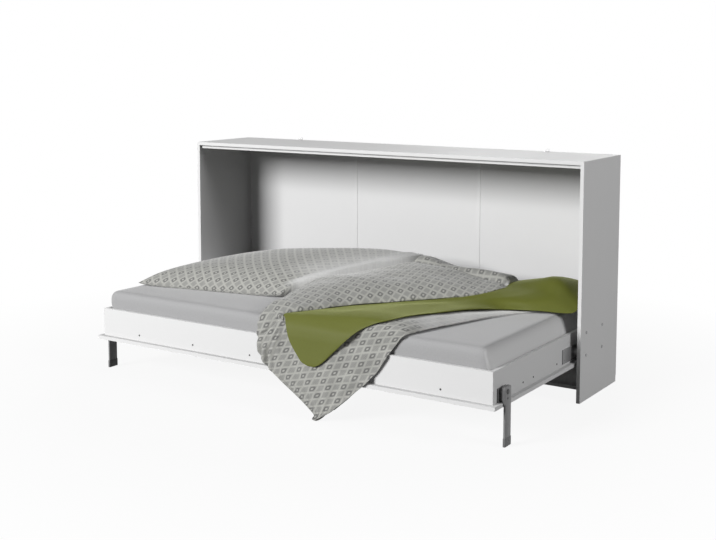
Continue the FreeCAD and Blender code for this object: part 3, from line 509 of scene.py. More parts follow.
def wood_material(name, colour):
    """Planed softwood with growth rings stretched along the length."""
    material, tree, shader = new_material(name)
    stretch = add(tree, "ShaderNodeMapping", {"Scale": (2.0, 2.0, 40.0)})
    join(tree, object_place(tree), stretch.inputs["Vector"])
    rings = add(tree, "ShaderNodeTexNoise", {"Scale": 6.0, "Detail": 5.0, "Distortion": 1.2})
    join(tree, stretch.outputs[0], rings.inputs["Vector"])
    tone = mix_colour(tree, rings.outputs[0], *shades(colour, down=0.72, up=1.0))
    join(tree, tone, shader.inputs["Base Color"])
    set_inputs(shader, {"Roughness": 0.6})
    bump(tree, shader, rings.outputs[0], strength=0.3, depth=0.0004)
    return material


def cloth_map(tree):
    return add(tree, "ShaderNodeUVMap", uv_map="cloth").outputs[0]


def cloth_finish(tree, shader, weave, roughness, drift, gloss):
    """Roughness that follows the slubs, the bump of the threads, and the sheen of the cloth."""
    rough = math_node(tree, "MULTIPLY", weave.outputs["Slub"], drift)
    join(tree, math_node(tree, "ADD", rough, roughness), shader.inputs["Roughness"])
    bump(tree, shader, weave.outputs["Height"], strength=0.25, depth=0.0003)
    set_inputs(shader, gloss)


def printed_material():
    """Cotton with the print, faded and worn along its threads, and painted paler where it is marked, as a
    painted highlight.
    """
    finish = settings("bed_bedding")
    material, tree, shader = new_material("lozenge_cotton")
    place = cloth_map(tree)
    pattern = place_group(
        tree,
        shared_group("lozenge_print", print_group),
        {"Map": place},
        {
            "Pitch": finish.pitch,
            "Ground": rgba(finish.ground),
            "Lattice": rgba(finish.lattice),
            "Ring": rgba(finish.ring),
        },
    )
    threads = shared_group("plain_weave", weave_group)
    weave = place_group(tree, threads, {"Map": place}, {"Threads": 900.0})
    faded_with_painted_light = mix_colour(tree, PRINT_FADE, pattern.outputs["Color"], rgba(finish.ground))
    # Painted light: a paler print where the mesh is marked, on the pillow's end and the duvet's edges
    share = add(tree, "ShaderNodeAttribute", attribute_name="painted_light").outputs["Fac"]
    faded_with_painted_light = mix_colour(tree, share, faded_with_painted_light, rgba(finish.painted_light))
    worn = add(tree, "ShaderNodeMix", {0: SLUB_WEAR}, data_type="RGBA", blend_type="SOFT_LIGHT")
    join(tree, faded_with_painted_light, worn.inputs[6])
    join(tree, weave.outputs["Slub"], worn.inputs[7])
    join(tree, worn.outputs[2], shader.inputs["Base Color"])
    gloss = {"Sheen Weight": 0.5, "Sheen Roughness": 0.5, "Specular IOR Level": 0.25}
    cloth_finish(tree, shader, weave, roughness=0.75, drift=0.2, gloss=gloss)
    return material


def plain_cloth(name, colour, threads, sheen, shine, roughness, painted_end_light=None):
    """Dyed cloth: weave bump, slubs in the thread and a soft sheen; paler where marked, as a painted
    highlight.
    """
    material, tree, shader = new_material(name)
    weave = place_group(
        tree, shared_group("plain_weave", weave_group), {"Map": cloth_map(tree)}, {"Threads": threads}
    )
    tone = mix_colour(tree, weave.outputs["Slub"], *shades(colour, down=0.9, up=1.08))
    # Painted highlight: the marked ends of the mattress are paler
    if painted_end_light:
        drawn = add(tree, "ShaderNodeAttribute", attribute_name="painted_end_light").outputs["Fac"]
        tone = mix_colour(tree, drawn, tone, rgba(painted_end_light))
    join(tree, tone, shader.inputs["Base Color"])
    gloss = {
        "Sheen Weight": sheen,
        "Sheen Tint": rgba([SHEEN_WHITE + (1 - SHEEN_WHITE) * c / max(colour) for c in colour]),
        "Sheen Roughness": 0.45,
        "Specular IOR Level": shine,
    }
    cloth_finish(tree, shader, weave, roughness, drift=0.15, gloss=gloss)
    return material


def material_named(name, maker):
    return bpy.data.materials.get(name) or maker()


def dress(nodes, material):
    for name in nodes:
        slots = frame["nodes"][name].data.materials
        slots.clear()
        slots.append(material)


# Mesh building
def deselect():
    if bpy.context.object and bpy.context.object.mode != "OBJECT":
        bpy.ops.object.mode_set(mode="OBJECT")
    bpy.ops.object.select_all(action="DESELECT")


def activate(piece):
    deselect()
    piece.select_set(True)
    bpy.context.view_layer.objects.active = piece


def apply_modifier(piece, name, kind, **options):
    modifier = piece.modifiers.new(name, kind)
    for option, value in options.items():
        setattr(modifier, option, value)
    activate(piece)
    bpy.ops.object.modifier_apply(modifier=name)


def finish_piece(piece, material, body, slot, *nodes):
    piece.data.materials.clear()
    piece.data.materials.append(material)
    activate(piece)
    bpy.ops.object.shade_smooth_by_angle(angle=math.radians(45))
    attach(piece, body)
    if nodes:
        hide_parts(*nodes)


def points_of(piece):
    flat = np.zeros(len(piece.data.vertices) * 3, np.float32)
    piece.data.vertices.foreach_get("co", flat)
    return flat.reshape(-1, 3).astype(float)


def set_points(piece, points):
    piece.data.vertices.foreach_set("co", np.asarray(points, np.float32).ravel())
    piece.data.update()


def bed_point(x, y, z):
    """Place on the bed, in millimetres from its middle, the cabinet's front and the floor."""
    return (x * MM, FRONT_Y + y * MM, z * MM)


def blend_row(controls, count):
    """Points of a smooth line through the control points, spread evenly by their number."""
    controls = np.asarray(controls, float)
    padded = np.concatenate(
        ([2 * controls[0] - controls[1]], controls, [2 * controls[-1] - controls[-2]])
    )
    places = np.linspace(0, len(controls) - 1, count)
    low = np.minimum(places.astype(int), len(controls) - 2)
    share = (places - low).reshape((-1,) + (1,) * (controls.ndim - 1))
    p0, p1, p2, p3 = (padded[low + step] for step in range(4))
    return 0.5 * (
        2 * p1
        + (p2 - p0) * share
        + (2 * p0 - 5 * p1 + 4 * p2 - p3) * share**2
        + (3 * p1 - p0 - 3 * p2 + p3) * share**3
    )


def smooth_net(rows, across, along):
    """Dense grid of points, along by across, through a small net of control points."""
    net = np.array([[bed_point(*point) for point in row] for row in rows])
    wide = blend_row(np.swapaxes(net, 0, 1), across)
    return blend_row(np.swapaxes(wide, 0, 1), along)


def net_normals(grid):
    du = np.gradient(grid, axis=1)
    dv = np.gradient(grid, axis=0)
    normal = np.cross(du, dv)
    length = np.linalg.norm(normal, axis=2, keepdims=True)
    return normal / np.maximum(length, 1e-9)


def cloth_noise(points, scale, seed, depth=3):
    """Smooth noise between about -1 and 1 at each point."""
    shift = Vector((seed * 3.1, seed * 1.7, seed * 2.3))
    flat = points.reshape(-1, 3)
    made = [noise.fractal(Vector(p) * scale + shift, 1.0, 2.0, depth) for p in flat]
    return np.array(made).reshape(points.shape[:-1])


def crease_noise(points, scale, seed, stretch):
    """Ridges drawn out along one way, as soft creases in cloth are."""
    drawn = points * np.asarray(stretch)
    return 1 - 2 * np.abs(cloth_noise(drawn, scale, seed, depth=2))


def lay_map(mesh, maps):
    """Cloth map of a mesh, from one place on the flat cloth for each point."""
    layer = mesh.uv_layers.new(name="cloth")
    corners = np.zeros(len(mesh.loops), np.int32)
    mesh.loops.foreach_get("vertex_index", corners)
    layer.data.foreach_set("uv", maps[corners].astype(np.float32).ravel())


def grid_mesh(name, points, maps, faces):
    mesh = bpy.data.meshes.new(name)
    mesh.from_pydata(points.tolist(), [], faces)
    mesh.update()
    lay_map(mesh, maps)
    piece = bpy.data.objects.new(name, mesh)
    bpy.context.scene.collection.objects.link(piece)
    return piece


def quads(rows, columns, offset=0, flip=False):
    made = []
    for r in range(rows - 1):
        for c in range(columns - 1):
            a = offset + r * columns + c
            face = (a, a + 1, a + columns + 1, a + columns)
            made.append(face[::-1] if flip else face)
    return made


def quilt(name, grid, thickness, cloth):
    """Closed padded layer: the grid is its upper face, and thickness is its depth below it."""
    rows, columns = grid.shape[:2]
    under = grid - net_normals(grid) * thickness[..., None]
    count = rows * columns
    points = np.concatenate((grid.reshape(-1, 3), under.reshape(-1, 3)))
    maps = np.concatenate((cloth.reshape(-1, 2), cloth.reshape(-1, 2)))
    faces = quads(rows, columns) + quads(rows, columns, count, True)
    rim = list(range(columns))
    rim += [r * columns + columns - 1 for r in range(1, rows)]
    rim += [(rows - 1) * columns + c for c in range(columns - 2, -1, -1)]
    rim += [r * columns for r in range(rows - 2, 0, -1)]
    for index, a in enumerate(rim):
        b = rim[(index + 1) % len(rim)]
        faces.append((b, a, a + count, b + count))
    return grid_mesh(name, points, maps, faces)


def edge_share(rows, columns, reach):
    """0 on the edges of a grid, rising in a round to 1 at the given share of its width from them."""
    u = np.linspace(0, 1, columns)[None, :]
    v = np.linspace(0, 1, rows)[:, None]
    nearest = np.minimum(np.minimum(u, 1 - u), np.minimum(v, 1 - v)) / reach
    return np.sqrt(np.clip(1 - (1 - np.clip(nearest, 0, 1)) ** 2, 0, 1))


# Forms of the bedding, in millimetres from the bed's middle, the cabinet's front and the floor
# Hanging corner of the duvet, from its tip upwards: height, place, left edge, right edge
CORNER_ROWS = [
    (5, -816, 248, 261),
    (22, -812, 254, 290),
    (40, -808, 236, 318),
    (62, -802, 200, 346),
    (98, -793, 135, 388),
    (132, -785, 72, 424),
    (172, -776, 0, 470),
    (200, -770, -36, 496),
    (235, -762, -62, 526),
    (300, -750, -78, 566),
    (340, -745, -82, 594),
    (372, -734, -84, 614),
]
# Point beside the throw where the corner's creases fan out: side place and height
GATHER_POINT = (53, 405)
# Where the hanging corner leans on the door's edge, the board and the mattress: height and place
LEAN_HEIGHTS = (185, 210, 296, 330)
LEAN_PLACES = (-763, -741, -741, -721)
# Way in which its right edge is drawn back on to them
LEAN_WAY = np.array((-0.55, 1.0, -0.28))
# Sides of a printed cell on the hanging corner, in metres across and up
BIAS_CELL = ((0.0370, 0.0081), (0.0110, 0.0309))
# Lower layer of the duvet, from front to rear: place, then each point's side place and height
LOWER_ROWS = [
    (-708, (-86, 388), (60, 389), (200, 391), (340, 396), (500, 404), (582, 402), (622, 384)),
    (-668, (-88, 389), (70, 391), (220, 397), (380, 409), (535, 421), (608, 409), (637, 389)),
    (-620, (-90, 389), (80, 392), (230, 399), (400, 412), (562, 427), (624, 410), (651, 391)),
    (-520, (-90, 391), (100, 395), (260, 402), (430, 413), (590, 423), (652, 408), (679, 392)),
    (-400, (-100, 393), (130, 397), (300, 404), (470, 411), (626, 414), (690, 404), (717, 392)),
    (-250, (-110, 395), (220, 400), (420, 404), (560, 406), (680, 402), (738, 398), (763, 391)),
    (-130, (-90, 397), (250, 405), (500, 412), (640, 410), (738, 392), (797, 391), (820, 388)),
    (-40, (-60, 400), (300, 412), (600, 424), (740, 418), (828, 388), (862, 388), (876, 383)),
    (60, (-20, 404), (300, 424), (640, 440), (780, 440), (880, 430), (925, 415), (945, 398)),
    (185, (15, 404), (300, 424), (640, 446), (800, 458), (900, 464), (960, 456), (985, 445)),
]
# Hanging tongue of the throw, from its end upwards: height, place, left edge, right edge
TONGUE_ROWS = [
    (212, -777, 196, 228),
    (224, -776, 164, 254),
    (247, -773, 141, 282),
    (279, -769, 113, 314),
    (302, -766, 96, 338),
    (330, -762, 82, 366),
    (362, -753, 68, 400),
    (386, -736, 52, 430),
]
# Throw on the bed, from the front edge to the rear, from under the duvet to its own edge
THROW_ROWS = [
    ((30, -714, 399), (140, -714, 404), (250, -714, 408), (365, -714, 411), (478, -714, 411)),
    ((58, -678, 402), (180, -682, 412), (300, -686, 423), (418, -690, 429), (530, -694, 429)),
    ((85, -640, 404), (212, -638, 417), (336, -634, 432), (460, -630, 438), (572, -626, 438)),
    ((138, -562, 406), (262, -558, 417), (380, -554, 433), (492, -549, 437), (594, -545, 435)),
    ((200, -463, 409), (308, -460, 418), (418, -456, 432), (524, -453, 433), (622, -450, 428)),
    ((345, -334, 417), (430, -331, 420), (512, -327, 429), (592, -321, 426), (664, -315, 419)),
    ((478, -221, 426), (542, -217, 424), (606, -213, 423), (662, -208, 417), (712, -203, 409)),
    ((604, -122, 441), (650, -121, 436), (698, -119, 430), (740, -114, 416), (780, -102, 396)),
    ((672, -42, 453), (736, -49, 447), (793, -58, 444), (847, -68, 430), (893, -66, 397)),
    ((690, 50, 462), (780, 40, 462), (868, 20, 464), (945, 2, 446), (1030, 2, 392)),
    ((690, 115, 470), (788, 110, 487), (884, 95, 510), (960, 70, 498), (1036, 50, 440)),
    ((690, 186, 466), (790, 186, 487), (885, 186, 504), (960, 186, 500), (1036, 186, 484)),
]
# Upper layer of the duvet, from front to rear: left rim, heights between, rim over the throw
UPPER_SHARES = (0.06, 0.25, 0.5, 0.75, 0.94)
UPPER_ROWS = [
    ((-84, -740, 364), (376, 384, 386, 386, 384), (44, -740, 378)),
    ((-90, -696, 386), (406, 416, 416, 412, 407), (36, -708, 398)),
    ((-100, -632, 386), (416, 434, 434, 428, 418), (95, -650, 407)),
    ((-110, -549, 386), (424, 448, 450, 440, 426), (150, -565, 412)),
    ((-130, -470, 387), (430, 460, 466, 454, 432), (215, -465, 415)),
    ((-162, -330, 390), (440, 474, 486, 470, 440), (364, -330, 423)),
    ((-166, -226, 398), (448, 484, 498, 482, 448), (496, -220, 432)),
    ((-126, -80, 405), (450, 490, 510, 494, 464), (628, -105, 450)),
    ((-40, 40, 425), (464, 510, 520, 490, 472), (692, 15, 460)),
    ((45, 115, 440), (486, 542, 514, 504, 497), (690, 100, 466)),
    ((70, 185, 440), (480, 528, 500, 493, 488), (690, 186, 464)),
]
# Pillow seam corners: front left, front right, rear right, rear left
PILLOW_CORNERS = ((-988, -560, 399), (-212, -412, 394), (205, 186, 522), (-825, 60, 416))


def drape_rows(rows, columns):
    """Control points of a hanging piece, each row spread evenly between its edges."""
    made = []
    for height, place, left, right in rows:
        across = [left + (right - left) * c / (columns - 1) for c in range(columns)]
        made.append([(x, place, height) for x in across])
    return made


def turned(u, v, turn):
    """Cloth map in metres, turned by an angle."""
    across = u * math.cos(turn) - v * math.sin(turn)
    along = u * math.sin(turn) + v * math.cos(turn)
    return np.stack((across, along), axis=2)


def run_along(grid, axis):
    """Length along each line of a grid, from the line's start."""
    step = np.linalg.norm(np.diff(grid, axis=axis), axis=2)
    start = np.zeros_like(step.take([0], axis))
    return np.concatenate((start, np.cumsum(step, axis=axis)), axis=axis)


def hang_map(grid):
    """Cloth map of a piece that hangs over the front: the run across, and the run over the edge."""
    middle = grid.shape[1] // 2
    across = run_along(grid[..., ::2], 1)
    across += grid[:, [middle], 0] - across[:, [middle]]
    return np.stack((across, run_along(grid[..., 1:], 0)), axis=2)


def bias_map(cloth, first, second, pitch):
    """Cloth map drawn askew as cloth on the bias is: two sides of a printed cell are given in metres."""
    cells = cloth @ np.linalg.inv(np.array((first, second)))
    half = pitch * math.sqrt(2) / 2
    across = (cells[..., 0] - cells[..., 1]) * half
    along = (cells[..., 0] + cells[..., 1]) * half
    return np.stack((across, along), axis=2)


def lip_map(grid, turn):
    """Cloth map of a folded layer: each row is laid out flat from its own middle."""
    middle = grid.shape[1] // 2
    run = run_along(grid, 1)
    run = run - run[:, middle : middle + 1]
    way = grid[:, -1, :2] - grid[:, 0, :2]
    way /= np.linalg.norm(way, axis=1, keepdims=True)
    flat = grid[:, middle : middle + 1, :2] + run[..., None] * way[:, None, :]
    return turned(flat[..., 0], flat[..., 1], turn)


def mark(piece, name, values):
    """Keeps one value for each point of a mesh, for its material."""
    layer = piece.data.attributes.new(name, "FLOAT", "POINT")
    layer.data.foreach_set("value", values.astype(np.float32))


def ramp(values, start, reach):
    """0 up to the start and 1 past the reach from there; with a negative reach, the other way round."""
    return np.clip((values - start) / reach, 0, 1)


def ease(values, start, reach):
    """As a ramp, with a smooth start and end."""
    share = ramp(values, start, reach)
    return share * share * (3 - 2 * share)


def bulge(values, place, width):
    """1 at the place, fading out on both sides of it."""
    return np.exp(-(((values - place) / width) ** 2))


def soften(grid, amounts):
    """Moves a grid along its own normals by the given amounts in metres."""
    return grid + net_normals(grid) * amounts[..., None]


def nodes_of(slot):
    return [part["node"] for part in frame["record"]["subparts"] if part["material_slot"] == slot]


class BED_OT_boards(bpy.types.Operator):
    """Face the cabinet, the bed box and the slats"""

    bl_idname = "bed.boards"
    bl_label = "Boards"

    def execute(self, context):
        finish = settings("bed_boards")
        for name, slot, roughness, tint, fine, shine, bounce in (
            ("faced_board", "white_board", finish.roughness, 0.012, 420.0, 0.25, finish.bounce),
            ("hardboard_back", "white_hardboard", 0.6, 0.015, 300.0, 0.2, finish.bounce),
            ("joint_strip", "white_plastic", 0.35, 0.01, 600.0, 0.5, 1.0),
        ):
            white = hard_material(name, finish.white, roughness, 0.0, tint, fine, shine, bounce)
            dress(nodes_of(slot), white)
        dress(nodes_of("bare_wood"), wood_material("planed_wood", finish.wood))
        return {"FINISHED"}


class BED_OT_fittings(bpy.types.Operator):
    """Finish the steel and plastic fittings"""

    bl_idname = "bed.fittings"
    bl_label = "Fittings"

    def execute(self, context):
        finish = settings("bed_fittings")
        made = {}
        for name, colour, roughness, metallic, tint, fine, shine in (
            ("leg_paint", finish.paint, 0.45, 0.0, 0.06, 700.0, 0.35),
            ("plate_steel", finish.plate, 0.4, 0.35, 0.08, 800.0, 0.5),
            ("tube_lacquer", finish.tube, 0.3, 0.0, 0.10, 900.0, 0.5),
            ("plated_steel", finish.zinc, 0.35, 0.95, 0.08, 1100.0, 0.5),
            ("screw_steel", finish.screw, 0.5, 0.3, 0.15, 1200.0, 0.5),
            ("moulded_plastic", finish.plastic, 0.5, 0.0, 0.10, 500.0, 0.3),
            ("painted_steel", settings("bed_boards").white, 0.4, 0.0, 0.02, 700.0, 0.5),
        ):
            made[name] = hard_material(name, colour, roughness, metallic, tint, fine, shine)
        dark = nodes_of("dark_steel")
        bright = nodes_of("bright_steel")
        dress(dark, made["leg_paint"])
        dress([name for name in dark if "plate" in name or "hub" in name], made["plate_steel"])
        dress([name for name in dark if "tube" in name], made["tube_lacquer"])
        dress(bright, made["plated_steel"])
        dress([name for name in bright if "screws" in name or "leg" in name], made["screw_steel"])
        dress([name for name in bright if "bolts" in name], made["plate_steel"])
        dress(nodes_of("dark_plastic"), made["moulded_plastic"])
        dress(nodes_of("white_steel"), made["painted_steel"])
        return {"FINISHED"}


def select_none(kind):
    """Empties the selection of faces or edges, and ends in object mode."""
    bpy.ops.object.mode_set(mode="EDIT")
    bpy.ops.mesh.select_mode(type=kind)
    bpy.ops.mesh.select_all(action="DESELECT")
    bpy.ops.object.mode_set(mode="OBJECT")


def select_faces(piece, test):
    """Selects, in edit mode, the faces that pass a test of their middle and normal."""
    select_none("FACE")
    for face in piece.data.polygons:
        face.select = test(face.center, face.normal)
    bpy.ops.object.mode_set(mode="EDIT")


def select_edges(piece, test):
    """Selects, in edit mode, the edges whose two ends pass a test."""
    select_none("EDGE")
    points = piece.data.vertices
    for edge in piece.data.edges:
        ends = [points[index].co for index in edge.vertices]
        edge.select = test(*ends)
    bpy.ops.object.mode_set(mode="EDIT")


def new_block(name, low, high):
    """Block between two corners, left active in object mode with its place in its mesh."""
    deselect()
    middle = [(a + b) / 2 for a, b in zip(low, high)]
    bpy.ops.mesh.primitive_cube_add(size=1, location=middle)
    piece = bpy.context.object
    piece.name = name
    piece.data.name = name
    piece.scale = [b - a for a, b in zip(low, high)]
    bpy.ops.object.transform_apply(location=True, rotation=True, scale=True)
    return piece


# A face looks along an axis when that much of its normal lies along it
FACING = 0.9
# An edge is sharp when its faces turn by more than this angle
SHARP_ANGLE = 0.9
# Sides of a round hole or drum
BAR_SIDES = 32
# Points closer than this are at the same place
SAME_PLACE = 1e-5


def near(first, second):
    return abs(first - second) < SAME_PLACE


def extrude(offset):
    bpy.ops.mesh.extrude_region_move(TRANSFORM_OT_translate={"value": offset})


def bevel(offset, segments):
    """Rounds the selected edges and stays in edit mode."""
    bpy.ops.mesh.bevel(offset=offset, segments=segments, affect="EDGES")


def break_edges(piece, width, segments):
    """Takes the sharpness off every edge of a finished shape."""
    bpy.ops.object.mode_set(mode="OBJECT")
    limits = {"limit_method": "ANGLE", "angle_limit": SHARP_ANGLE}
    apply_modifier(piece, "edges", "BEVEL", width=width, segments=segments, **limits)


def round_bar(piece, radius, start, end, sign, operation="DIFFERENCE"):
    """Hole, or a boss with UNION, along the bed's length from one place to another."""
    deselect()
    middle = [(a + b) / 2 for a, b in zip(start, end)]
    bpy.ops.mesh.primitive_cylinder_add(
        vertices=BAR_SIDES,
        radius=radius,
        depth=abs(end[0] - start[0]),
        location=middle,
        rotation=(0, sign * math.pi / 2, 0),
    )
    bar = bpy.context.object
    bpy.ops.object.transform_apply(location=True, rotation=True, scale=True)
    apply_modifier(piece, "bar", "BOOLEAN", object=bar, operation=operation, solver="EXACT")
    bpy.data.objects.remove(bar)
    bpy.ops.object.mode_set(mode="EDIT")
    bpy.ops.mesh.select_all(action="SELECT")
    bpy.ops.mesh.remove_doubles(threshold=SAME_PLACE)
    bpy.ops.object.mode_set(mode="OBJECT")


class BED_OT_legs(bpy.types.Operator):
    """Hinged legs: folded steel heads on flat straps, with plastic feet"""

    bl_idname = "bed.legs"
    bl_label = "Legs"

    # Head, strap and the drum behind the pin
    neck_drop = 0.031
    neck_height = 0.020
    wall = 0.004
    lip = 0.0045
    crown = 0.008
    front_round = 0.009
    strap_sunk = 0.028
    tip_round = 0.006
    strap_edge = 0.0012
    drum = 0.020
    drum_sunk = 0.0005
    # Holes of the pin and the lock: radius, and where they start behind the strap and end past it
    pin_hole = 0.0062
    pin_start = 0.02
    lock_hole = 0.0045
    lock_start = 0.002
    lock_drop = 0.026
    hole_end = 0.01
    # Foot with a sunk mouth, a sunk sole and a dimple in its outer face
    mouth_wall = 0.0012
    mouth_depth = 0.002
    sole_wall = 0.004
    sole_depth = 0.001
    foot_edge = 0.0018
    dimple = 0.005
    dimple_height = 0.019
    dimple_depth = 0.001
    dimple_end = 0.004

    def execute(self, context):
        for side, sign in (("left", -1), ("right", 1)):
            self.make_leg(side, sign)
            self.make_foot(side, sign)
        return {"FINISHED"}

    def make_leg(self, side, sign):
        sizes = settings("bed_fittings")
        low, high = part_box(f"{side}_leg")
        foot_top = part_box(f"{side}_leg_foot")[1].z
        outer = high.x if sign > 0 else low.x
        inner = outer - sign * sizes.leg_thickness
        back = low.x if sign > 0 else high.x
        lip = inner - sign * self.lip
        rear = high.y
        front = rear - sizes.leg_width
        head_front = rear - sizes.head_width
        pivot_y = rear - sizes.head_width / 2
        pivot_z = high.z - sizes.head_rise
        neck_top = pivot_z - self.neck_drop
        neck_base = neck_top - self.neck_height
        base = (min(inner, outer), front, foot_top - self.strap_sunk)
        piece = new_block(f"{side}_leg_strap", base, (max(inner, outer), rear, neck_base))
        select_faces(piece, lambda c, n: n.z > FACING)
        extrude((0, 0, neck_top - neck_base))
        step = (neck_top, front)
        select_edges(piece, lambda a, b: all(near(p.z, step[0]) and near(p.y, step[1]) for p in (a, b)))
        bpy.ops.transform.translate(value=(0, head_front - front, 0))
        select_faces(piece, lambda c, n: n.z > FACING and c.z > neck_base)
        extrude((0, 0, high.z - neck_top))
        select_edges(piece, lambda a, b: near(a.z, high.z) and near(b.z, high.z) and near(a.y, b.y))
        bevel(self.crown, segments=8)
        select_faces(piece, lambda c, n: n.x * sign < -FACING and c.z > neck_top)
        extrude((lip - inner, 0, 0))
        bpy.ops.mesh.inset(thickness=self.wall)
        extrude((inner - lip + sign * self.wall, 0, 0))
        nose = (outer, head_front)
        select_edges(piece, lambda a, b: all(near(p.x, nose[0]) and near(p.y, nose[1]) for p in (a, b)))
        bevel(self.front_round, segments=6)
        select_edges(piece, lambda a, b: near(a.z, base[2]) and near(b.z, base[2]) and near(a.y, b.y))
        bevel(self.tip_round, segments=4)
        break_edges(piece, self.strap_edge, segments=2)
        seat = (inner + sign * (self.wall + self.drum_sunk), pivot_y, pivot_z)
        round_bar(piece, self.drum, (back, pivot_y, pivot_z), seat, sign, operation="UNION")
        past = outer + sign * self.hole_end
        for radius, start, z in (
            (self.pin_hole, self.pin_start, pivot_z),
            (self.lock_hole, self.lock_start, pivot_z - self.lock_drop),
        ):
            round_bar(piece, radius, (inner - sign * start, pivot_y, z), (past, pivot_y, z), sign)
        paint = bpy.data.materials["leg_paint"]
        finish_piece(piece, paint, f"{side}_leg", "dark_steel", f"{side}_leg")

    def make_foot(self, side, sign):
        low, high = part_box(f"{side}_leg_foot")
        piece = new_block(f"{side}_leg_cap", low, high)
        select_faces(piece, lambda c, n: n.z > FACING)
        bpy.ops.mesh.inset(thickness=self.mouth_wall)
        extrude((0, 0, -self.mouth_depth))
        select_faces(piece, lambda c, n: n.z < -FACING)
        bpy.ops.mesh.inset(thickness=self.sole_wall)
        extrude((0, 0, self.sole_depth))
        break_edges(piece, self.foot_edge, segments=3)
        outer = high.x if sign > 0 else low.x
        middle = ((low.y + high.y) / 2, low.z + self.dimple_height)
        floor = (outer - sign * self.dimple_depth, *middle)
        round_bar(piece, self.dimple, floor, (outer + sign * self.dimple_end, *middle), sign)
        plastic = bpy.data.materials["moulded_plastic"]
        finish_piece(piece, plastic, f"{side}_leg", "dark_plastic", f"{side}_leg_foot")


class BED_OT_mattress(bpy.types.Operator):
    """Foam mattress in a fitted jersey sheet"""

    bl_idname = "bed.mattress"
    bl_label = "Mattress"

    corner_round = 0.026
    top_round = 0.028
    base_round = 0.02
    mesh_cell = 0.011
    map_slant = 0.3
    # The right end leans in above the boards, and the left end swells out over them
    lean = 0.026
    lean_from = 0.30
    lean_reach = 0.09
    swell = 0.009
    swell_from = 0.302
    swell_rise = 0.02
    swell_reach = 0.06
    # Waves on the top, and creases pulled up the sides near the corners
    top_reach = 0.05
    crown = 0.002
    wave = 0.0025
    pull = 0.0018
    pull_reach = 0.16
    # Share of a normal along the bed where the painted highlight on the ends starts, and where it is full
    end_light_from = 0.45
    end_light_reach = 0.5

    def execute(self, context):
        low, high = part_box("mattress")
        piece = new_block("mattress_sheet", low, high)
        select_edges(piece, lambda a, b: not near(a.z, b.z))
        bevel(self.corner_round, segments=6)
        select_edges(piece, lambda a, b: near(a.z, b.z) and near(a.z, high.z))
        bevel(self.top_round, segments=8)
        select_edges(piece, lambda a, b: near(a.z, b.z) and near(a.z, low.z))
        bevel(self.base_round, segments=4)
        bpy.ops.object.mode_set(mode="OBJECT")
        apply_modifier(piece, "even", "REMESH", mode="VOXEL", voxel_size=self.mesh_cell)
        apply_modifier(piece, "calm", "SMOOTH", factor=0.5, iterations=8)
        points = self.settled(points_of(piece), low, high)
        set_points(piece, points)
        across = points[:, 0] + points[:, 2] * self.map_slant
        lay_map(piece.data, np.stack((across, points[:, 1] + points[:, 2]), axis=1))
        finish = settings("bed_bedding")
        # Painted highlight on the mattress's ends
        self.mark_painted_end_light(piece)
        cloth = plain_cloth(
            "jersey_sheet",
            finish.jersey,
            threads=700.0,
            sheen=0.5,
            shine=0.2,
            roughness=0.75,
            painted_end_light=finish.painted_end_light,
        )
        finish_piece(piece, cloth, "bed", "mattress_sheet", "mattress")
        return {"FINISHED"}

    def settled(self, points, low, high):
        """Ends drawn in and out, the top a little wavy, and creases at the corners."""
        above = ramp(points[:, 2], self.lean_from, high.z - self.lean_from)
        right = ramp(points[:, 0], high.x - self.lean_reach, self.lean_reach)
        points[:, 0] -= right * above * self.lean
        left = ramp(points[:, 0], low.x + self.swell_reach, -self.swell_reach)
        points[:, 0] -= left * ramp(points[:, 2], self.swell_from, self.swell_rise) * self.swell
        top = ramp(points[:, 2], high.z - self.top_reach, self.top_reach)
        wave = cloth_noise(points, scale=2.4, seed=3) * self.wave
        pull = crease_noise(points, scale=7.0, seed=5, stretch=(1, 1, 0.25)) * self.pull
        corner = ramp(np.abs(points[:, 0]), high.x - self.pull_reach, self.pull_reach)
        points[:, 2] += top * (wave + self.crown)
        points[:, 1] += (1 - top) * corner * pull * np.sign(points[:, 1])
        return points

    def mark_painted_end_light(self, piece):
        """Share of painted highlight on the knitted sheet, paler over the mattress's ends where its
        normal turns along the bed.
        """
        normals = np.zeros(len(piece.data.vertices) * 3, np.float32)
        piece.data.vertex_normals.foreach_get("vector", normals)
        mark(piece, "painted_end_light", ramp(np.abs(normals[::3]), self.end_light_from, self.end_light_reach))


def run_cloth(piece, pressure, frames):
    """Blows a closed cloth up in place and applies the result."""
    modifier = piece.modifiers.new("cloth", "CLOTH")
    cloth = modifier.settings
    cloth.quality = 6
    cloth.mass = 0.3
    cloth.tension_stiffness = 12
    cloth.compression_stiffness = 12
    cloth.shear_stiffness = 6
    cloth.bending_stiffness = 0.4
    cloth.use_pressure = True
    cloth.uniform_pressure_force = pressure
    cloth.effector_weights.gravity = 0
    modifier.collision_settings.use_collision = False
    modifier.point_cache.frame_start = 1
    modifier.point_cache.frame_end = frames
    scene = bpy.context.scene
    for number in range(1, frames + 1):
        scene.frame_set(number)
    activate(piece)
    bpy.ops.object.modifier_apply(modifier="cloth")
    scene.frame_set(1)


